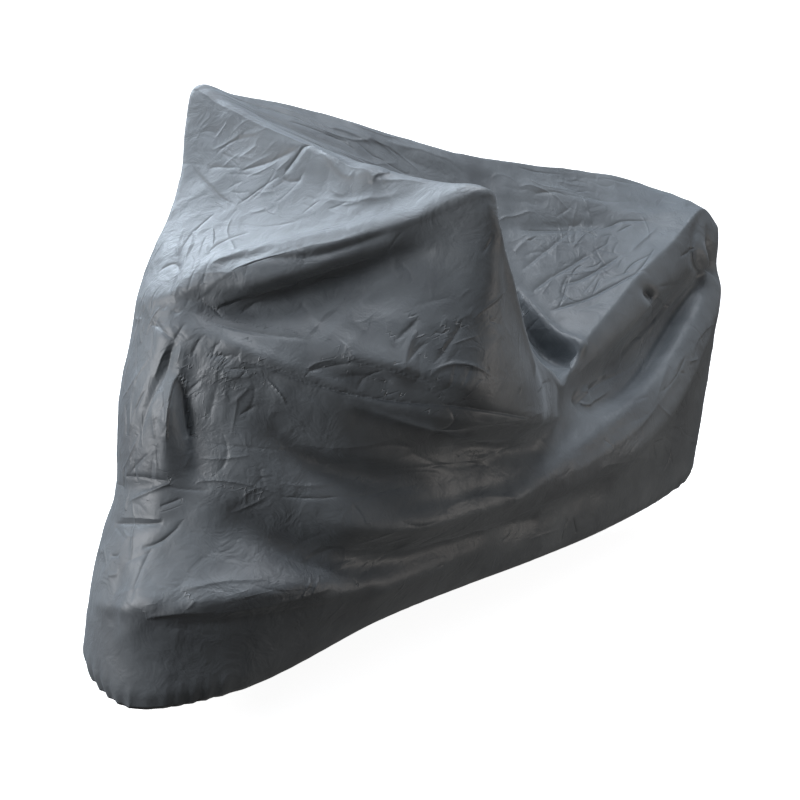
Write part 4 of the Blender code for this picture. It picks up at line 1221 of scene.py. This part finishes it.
def set_ramp(ramp: bpy.types.ColorRamp, places: tuple[float, float, float],
             colours: tuple[str, str, str]) -> None:
    """Gives a colour ramp its three colours.

    Args:
        ramp: The ramp, with its first two stops.
        places: Where the colours stand, from 0 to 1.
        colours: The colours as sRGB hex.
    """
    for stop, index in ((0, 0), (1, 2)):
        ramp.elements[stop].position = places[index]
        ramp.elements[stop].color = linear(colours[index])
    ramp.elements.new(places[1]).color = linear(colours[1])


@dataclass(frozen=True)
class CoatedPolyester:
    """Dark grey polyester taffeta with a matt waterproof coating.

    It gives the eye a soft grey, broadly uneven, with a faint cool sheen at grazing angles, fine random
    puckers in patches, crisp creases and, from near, a plain weave.
    """

    name: str = "coated polyester taffeta"
    colour: str = "#5d6266"
    faded: str = "#6b7074"
    deep: str = "#505458"
    roughness: float = 0.50
    specular: float = 0.45
    sheen: float = 0.20
    sheen_roughness: float = 0.45
    pucker_size: float = 0.050
    pucker_height: float = 0.0060
    pucker_patches: float = 3.2
    pucker_range: tuple[float, float] = (0.35, 0.70)
    pucker_least: float = 0.35
    tone_patches: float = 4.5
    tone_range: tuple[float, float, float] = (0.30, 0.50, 0.72)
    weave_pitch: float = 0.0016
    weave_height: float = 0.00006

    def material(self) -> bpy.types.Material:
        """Builds the node tree.

        Returns:
            The material.
        """
        material = bpy.data.materials.new(self.name)
        material.use_nodes = True
        tree = material.node_tree
        tree.nodes.clear()
        place = add_node(tree, "TexCoord")
        body = place.outputs["Object"]
        flat = place.outputs["UV"]
        height = self.surface_height(tree, body, flat)
        bump = add_node(tree, "Bump", Strength=1.0, Distance=1.0, Height=height)
        shader = add_node(
            tree, "BsdfPrincipled", Base_Color=self.colour_socket(tree, body), Roughness=self.roughness,
            Metallic=0.0, Specular_IOR_Level=self.specular, Sheen_Weight=self.sheen,
            Sheen_Roughness=self.sheen_roughness, Normal=bump.outputs["Normal"])
        shader.inputs["Sheen Tint"].default_value = linear("#dfe8f2")
        output = add_node(tree, "OutputMaterial")
        tree.links.new(shader.outputs["BSDF"], output.inputs["Surface"])
        return material

    def colour_socket(self, tree: bpy.types.NodeTree, body: bpy.types.NodeSocket) -> bpy.types.NodeSocket:
        """The cloth's colour, with the broad unevenness of its coating.

        Args:
            tree: The material's node tree.
            body: Object coordinates.

        Returns:
            The colour socket.
        """
        broad = add_node(tree, "TexNoise", Vector=body, Scale=self.tone_patches, Detail=5.0, Roughness=0.6)
        ramp = add_node(tree, "ValToRGB", Fac=broad.outputs["Fac"])
        set_ramp(ramp.color_ramp, self.tone_range, (self.deep, self.colour, self.faded))
        return ramp.outputs["Color"]

    def surface_height(self, tree: bpy.types.NodeTree, body: bpy.types.NodeSocket,
                       flat: bpy.types.NodeSocket) -> bpy.types.NodeSocket:
        """The fine relief in metres: puckers, crisp creases and weave.

        Args:
            tree: The material's node tree.
            body: Object coordinates.
            flat: The cloth's own flat coordinates.

        Returns:
            A height socket in metres.
        """
        low, high = self.pucker_range
        pucker = add_node(tree, "TexNoise", Vector=body, Scale=1.0 / self.pucker_size, Detail=3.0,
                          Roughness=0.6, Distortion=0.6)
        patches = add_node(tree, "TexNoise", Vector=body, Scale=self.pucker_patches, Detail=0.0)
        patch = add_node(tree, "MapRange", Value=patches.outputs["Fac"], From_Min=low, From_Max=high,
                         To_Min=self.pucker_least, To_Max=1.0)
        raised = add_node(tree, "Math", {"operation": "MULTIPLY"}, at_0=pucker.outputs["Fac"],
                          at_1=self.pucker_height)
        total = add_node(tree, "Math", {"operation": "MULTIPLY"}, at_0=raised.outputs[0],
                         at_1=patch.outputs["Result"])
        for number in range(CREASE_LAYERS):
            layer = self.crease_height(tree, f"creases {number + 1}")
            total = add_node(tree, "Math", {"operation": "ADD"}, at_0=total.outputs[0], at_1=layer)
        woven = self.weave(tree, flat)
        total = add_node(tree, "Math", {"operation": "ADD"}, at_0=total.outputs[0], at_1=woven)
        return total.outputs[0]

    def crease_height(self, tree: bpy.types.NodeTree, layer: str) -> bpy.types.NodeSocket:
        """The height of one layer of crisp creases: a pinched ridge or valley, or a small step.

        Args:
            tree: The material's node tree.
            layer: The name of the attribute that holds the distance, the height and the skew.

        Returns:
            A height socket in metres.
        """
        held = add_node(tree, "Attribute", {"attribute_name": layer})
        parts = add_node(tree, "SeparateXYZ", Vector=held.outputs["Vector"])
        widths = parts.outputs["X"]
        below = add_node(tree, "Math", {"operation": "MULTIPLY_ADD"}, at_0=widths, at_1=widths, at_2=1.0)
        above = add_node(tree, "Math", {"operation": "MULTIPLY_ADD"}, at_0=widths, at_1=parts.outputs["Z"],
                         at_2=1.0)
        share = add_node(tree, "Math", {"operation": "DIVIDE"}, at_0=above.outputs[0], at_1=below.outputs[0])
        height = add_node(tree, "Math", {"operation": "MULTIPLY"}, at_0=share.outputs[0],
                          at_1=parts.outputs["Y"])
        return height.outputs[0]

    def weave(self, tree: bpy.types.NodeTree, flat: bpy.types.NodeSocket) -> bpy.types.NodeSocket:
        """The plain weave, drawn four times coarser than its real 0.4 mm.

        It shows only from near: at the camera's distance it is still too fine to make out.

        Args:
            tree: The material's node tree.
            flat: The cloth's own flat coordinates.

        Returns:
            A height socket in metres.
        """
        warp = add_node(tree, "TexWave", {"bands_direction": "X"}, Vector=flat,
                        Scale=WAVE_PERIOD / self.weave_pitch, Distortion=0.4, Detail=1.0)
        weft = add_node(tree, "TexWave", {"bands_direction": "Y"}, Vector=flat,
                        Scale=WAVE_PERIOD / self.weave_pitch, Distortion=0.4, Detail=1.0)
        both = add_node(tree, "Math", {"operation": "MULTIPLY"}, at_0=warp.outputs["Fac"],
                        at_1=weft.outputs["Fac"])
        height = add_node(tree, "Math", {"operation": "MULTIPLY"}, at_0=both.outputs[0],
                          at_1=self.weave_height)
        return height.outputs[0]


@dataclass(frozen=True)
class StudioPaint:
    """Plain matt paint for the floor and its backdrop. It gives the eye an even near white, for it glows."""

    name: str = "studio paint"
    colour: str = "#f6f6f6"
    roughness: float = 0.9
    specular: float = 0.1
    glow: float = 1.0

    def material(self) -> bpy.types.Material:
        """Builds the node tree.

        Returns:
            The material.
        """
        material = bpy.data.materials.new(self.name)
        material.use_nodes = True
        shader = material.node_tree.nodes["Principled BSDF"]
        shader.inputs["Base Color"].default_value = linear(self.colour)
        shader.inputs["Roughness"].default_value = self.roughness
        shader.inputs["Specular IOR Level"].default_value = self.specular
        shader.inputs["Emission Color"].default_value = linear(self.colour)
        shader.inputs["Emission Strength"].default_value = self.glow
        return material


@dataclass
class MotorcycleCover:
    """The cover: one sheet of cloth with its folds, creases, crumple and turned-up hem."""

    name: str = "cover_cloth"
    finish: CoatedPolyester = field(default_factory=CoatedPolyester)
    piece: bpy.types.Object | None = None

    def build(self) -> None:
        """Makes the cloth's mesh."""
        drape = Drape()
        drape.smooth(3, drape.crispness())
        drape.lift(MAIN_FOLDS)
        drape.smooth(1, drape.crispness())
        drape.lift(LATER_FOLDS)
        drape.smooth(1, drape.crispness())
        drape.crumple()
        creases = [crease for patch in CREASE_FIELDS for crease in patch.creases()]
        drape.draw_creases([*CREASES, *creases])
        drape.gather_hem()
        drape.turn_up_hem()
        self.piece = drape.to_object(self.name)

    def dress(self) -> None:
        """Gives the cloth its finish and its place in the frame."""
        self.piece.data.materials.append(self.finish.material())
        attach(self.piece, "root")
        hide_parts("cover")


@dataclass
class Studio:
    """A pale floor that curves up into a backdrop, four soft boxes and a dim grey surround."""

    floor_drop: float = 0.860
    turned: float = -42.0
    width: float = 16.0
    near_edge: float = -7.0
    bend_start: float = 2.2
    bend: float = 2.5
    upright: float = 4.0
    strips: int = 24
    level_share: float = 0.25
    round_share: float = 0.65
    upright_share: float = 0.10
    paint: StudioPaint = field(default_factory=StudioPaint)

    def build(self) -> None:
        """Lays the floor and hangs the lights."""
        self.lay_floor()
        self.hang_lights()
        self.set_sky()

    def lay_floor(self) -> None:
        """Makes the floor, which curves up into the backdrop behind the object, as one sheet."""
        bpy.ops.object.select_all(action="DESELECT")
        bpy.ops.mesh.primitive_grid_add(x_subdivisions=1, y_subdivisions=self.strips, size=1.0)
        floor = bpy.context.object
        floor.name = "studio_floor"
        turn = Matrix.Rotation(math.radians(self.turned), 3, "Z")
        for vertex in floor.data.vertices:
            run, rise = self.profile(vertex.co.y + 0.5)
            place = turn @ Vector((vertex.co.x * self.width, run, rise))
            vertex.co = (place.x, place.y, place.z - self.floor_drop)
        floor.data.shade_smooth()
        floor.data.materials.append(self.paint.material())
        floor.visible_diffuse = False
        floor.visible_glossy = False

    def profile(self, share: float) -> tuple[float, float]:
        """The floor's section: level, then a quarter round, then upright.

        Args:
            share: The share of the way from the near edge to the top.

        Returns:
            How far back and how high.
        """
        if share <= self.level_share:
            return self.near_edge + (self.bend_start - self.near_edge) * share / self.level_share, 0.0
        if share < self.level_share + self.round_share:
            turned = (share - self.level_share) / self.round_share * 0.5 * math.pi
            return (self.bend_start + self.bend * math.sin(turned),
                    self.bend * (1.0 - math.cos(turned)))
        past = (share - (self.level_share + self.round_share)) / self.upright_share
        return self.bend_start + self.bend, self.bend + self.upright * past

    def hang_lights(self) -> None:
        """Hangs the soft boxes: the main one on the far side, then overhead, front and a weak low fill."""
        self.hang("far side", (-0.30, 2.70, 2.20), (0.0, 0.0, 0.0), (2.4, 2.0), 138.0, "#e4f1fd")
        self.hang("overhead", (0.20, -0.20, 3.20), (0.2, 0.0, 0.0), (2.0, 1.6), 124.0, "#f2f6fc")
        self.hang("front", (-3.10, 0.95, 0.50), (-0.7, 0.0, -0.1), (1.0, 1.2), 78.0, "#fdfdff")
        self.hang("near side", (1.40, -2.70, -0.50), (0.0, 0.0, -0.1), (1.8, 0.6), 24.0, "#fff6ee")

    @staticmethod
    def hang(name: str, place: tuple[float, float, float], aim: tuple[float, float, float],
             size: tuple[float, float], power: float, colour: str) -> None:
        """Hangs one soft box.

        Args:
            name: The light's name.
            place: Where it hangs.
            aim: What it points at.
            size: Its width and height in metres.
            power: Its power in watts.
            colour: Its colour as sRGB hex.
        """
        lamp = bpy.data.lights.new(name, "AREA")
        lamp.shape = "RECTANGLE"
        lamp.size = size[0]
        lamp.size_y = size[1]
        lamp.energy = power
        lamp.color = linear(colour)[:3]
        holder = bpy.data.objects.new(name, lamp)
        holder.location = place
        holder.rotation_euler = (Vector(aim) - Vector(place)).to_track_quat("-Z", "Y").to_euler()
        bpy.context.scene.collection.objects.link(holder)

    @staticmethod
    def set_sky() -> None:
        """A grey surround, lightest overhead and evenly dark from the horizon down."""
        world = bpy.data.worlds.new("studio air")
        world.use_nodes = True
        tree = world.node_tree
        tree.nodes.clear()
        place = add_node(tree, "TexCoord")
        parts = add_node(tree, "SeparateXYZ", Vector=place.outputs["Generated"])
        ramp = add_node(tree, "ValToRGB", Fac=parts.outputs["Z"])
        set_ramp(ramp.color_ramp, (0.0, 0.40, 0.85), ("#4c4a48", "#56585a", "#8a9098"))
        air = add_node(tree, "Background", Color=ramp.outputs["Color"], Strength=1.0)
        output = add_node(tree, "OutputWorld")
        tree.links.new(air.outputs["Background"], output.inputs["Surface"])
        bpy.context.scene.world = world


@dataclass(frozen=True)
class Camera:
    """The camera, off the machine's front left, between its two grips in height."""

    place: tuple[float, float, float] = (-2.082, -2.108, 0.388)
    yaw: float = 47.56
    pitch: float = -13.57
    lens: float = 54.0
    sensor: float = 36.0

    def build(self) -> None:
        """Makes the camera and looks through it."""
        data = bpy.data.cameras.new("camera")
        data.lens = self.lens
        data.sensor_width = self.sensor
        camera = bpy.data.objects.new("camera", data)
        yaw = math.radians(self.yaw)
        pitch = math.radians(self.pitch)
        way = Vector((math.cos(pitch) * math.cos(yaw), math.cos(pitch) * math.sin(yaw), math.sin(pitch)))
        camera.location = self.place
        camera.rotation_euler = way.to_track_quat("-Z", "Y").to_euler()
        bpy.context.scene.collection.objects.link(camera)
        bpy.context.scene.camera = camera
        bpy.context.scene.view_settings.view_transform = "Standard"


def main() -> None:
    """Builds the cover, its studio and its camera, in that order."""
    logging.basicConfig(level=logging.INFO, format="%(message)s")
    for body in frame:
        LOG.info("body %s", body)
    cover = MotorcycleCover()
    cover.build()
    cover.dress()
    LOG.info("%s: %d faces", cover.name, len(cover.piece.data.polygons))
    Studio().build()
    LOG.info("studio: floor, backdrop and lights")
    Camera().build()


if __name__ == "__main__":
    main()
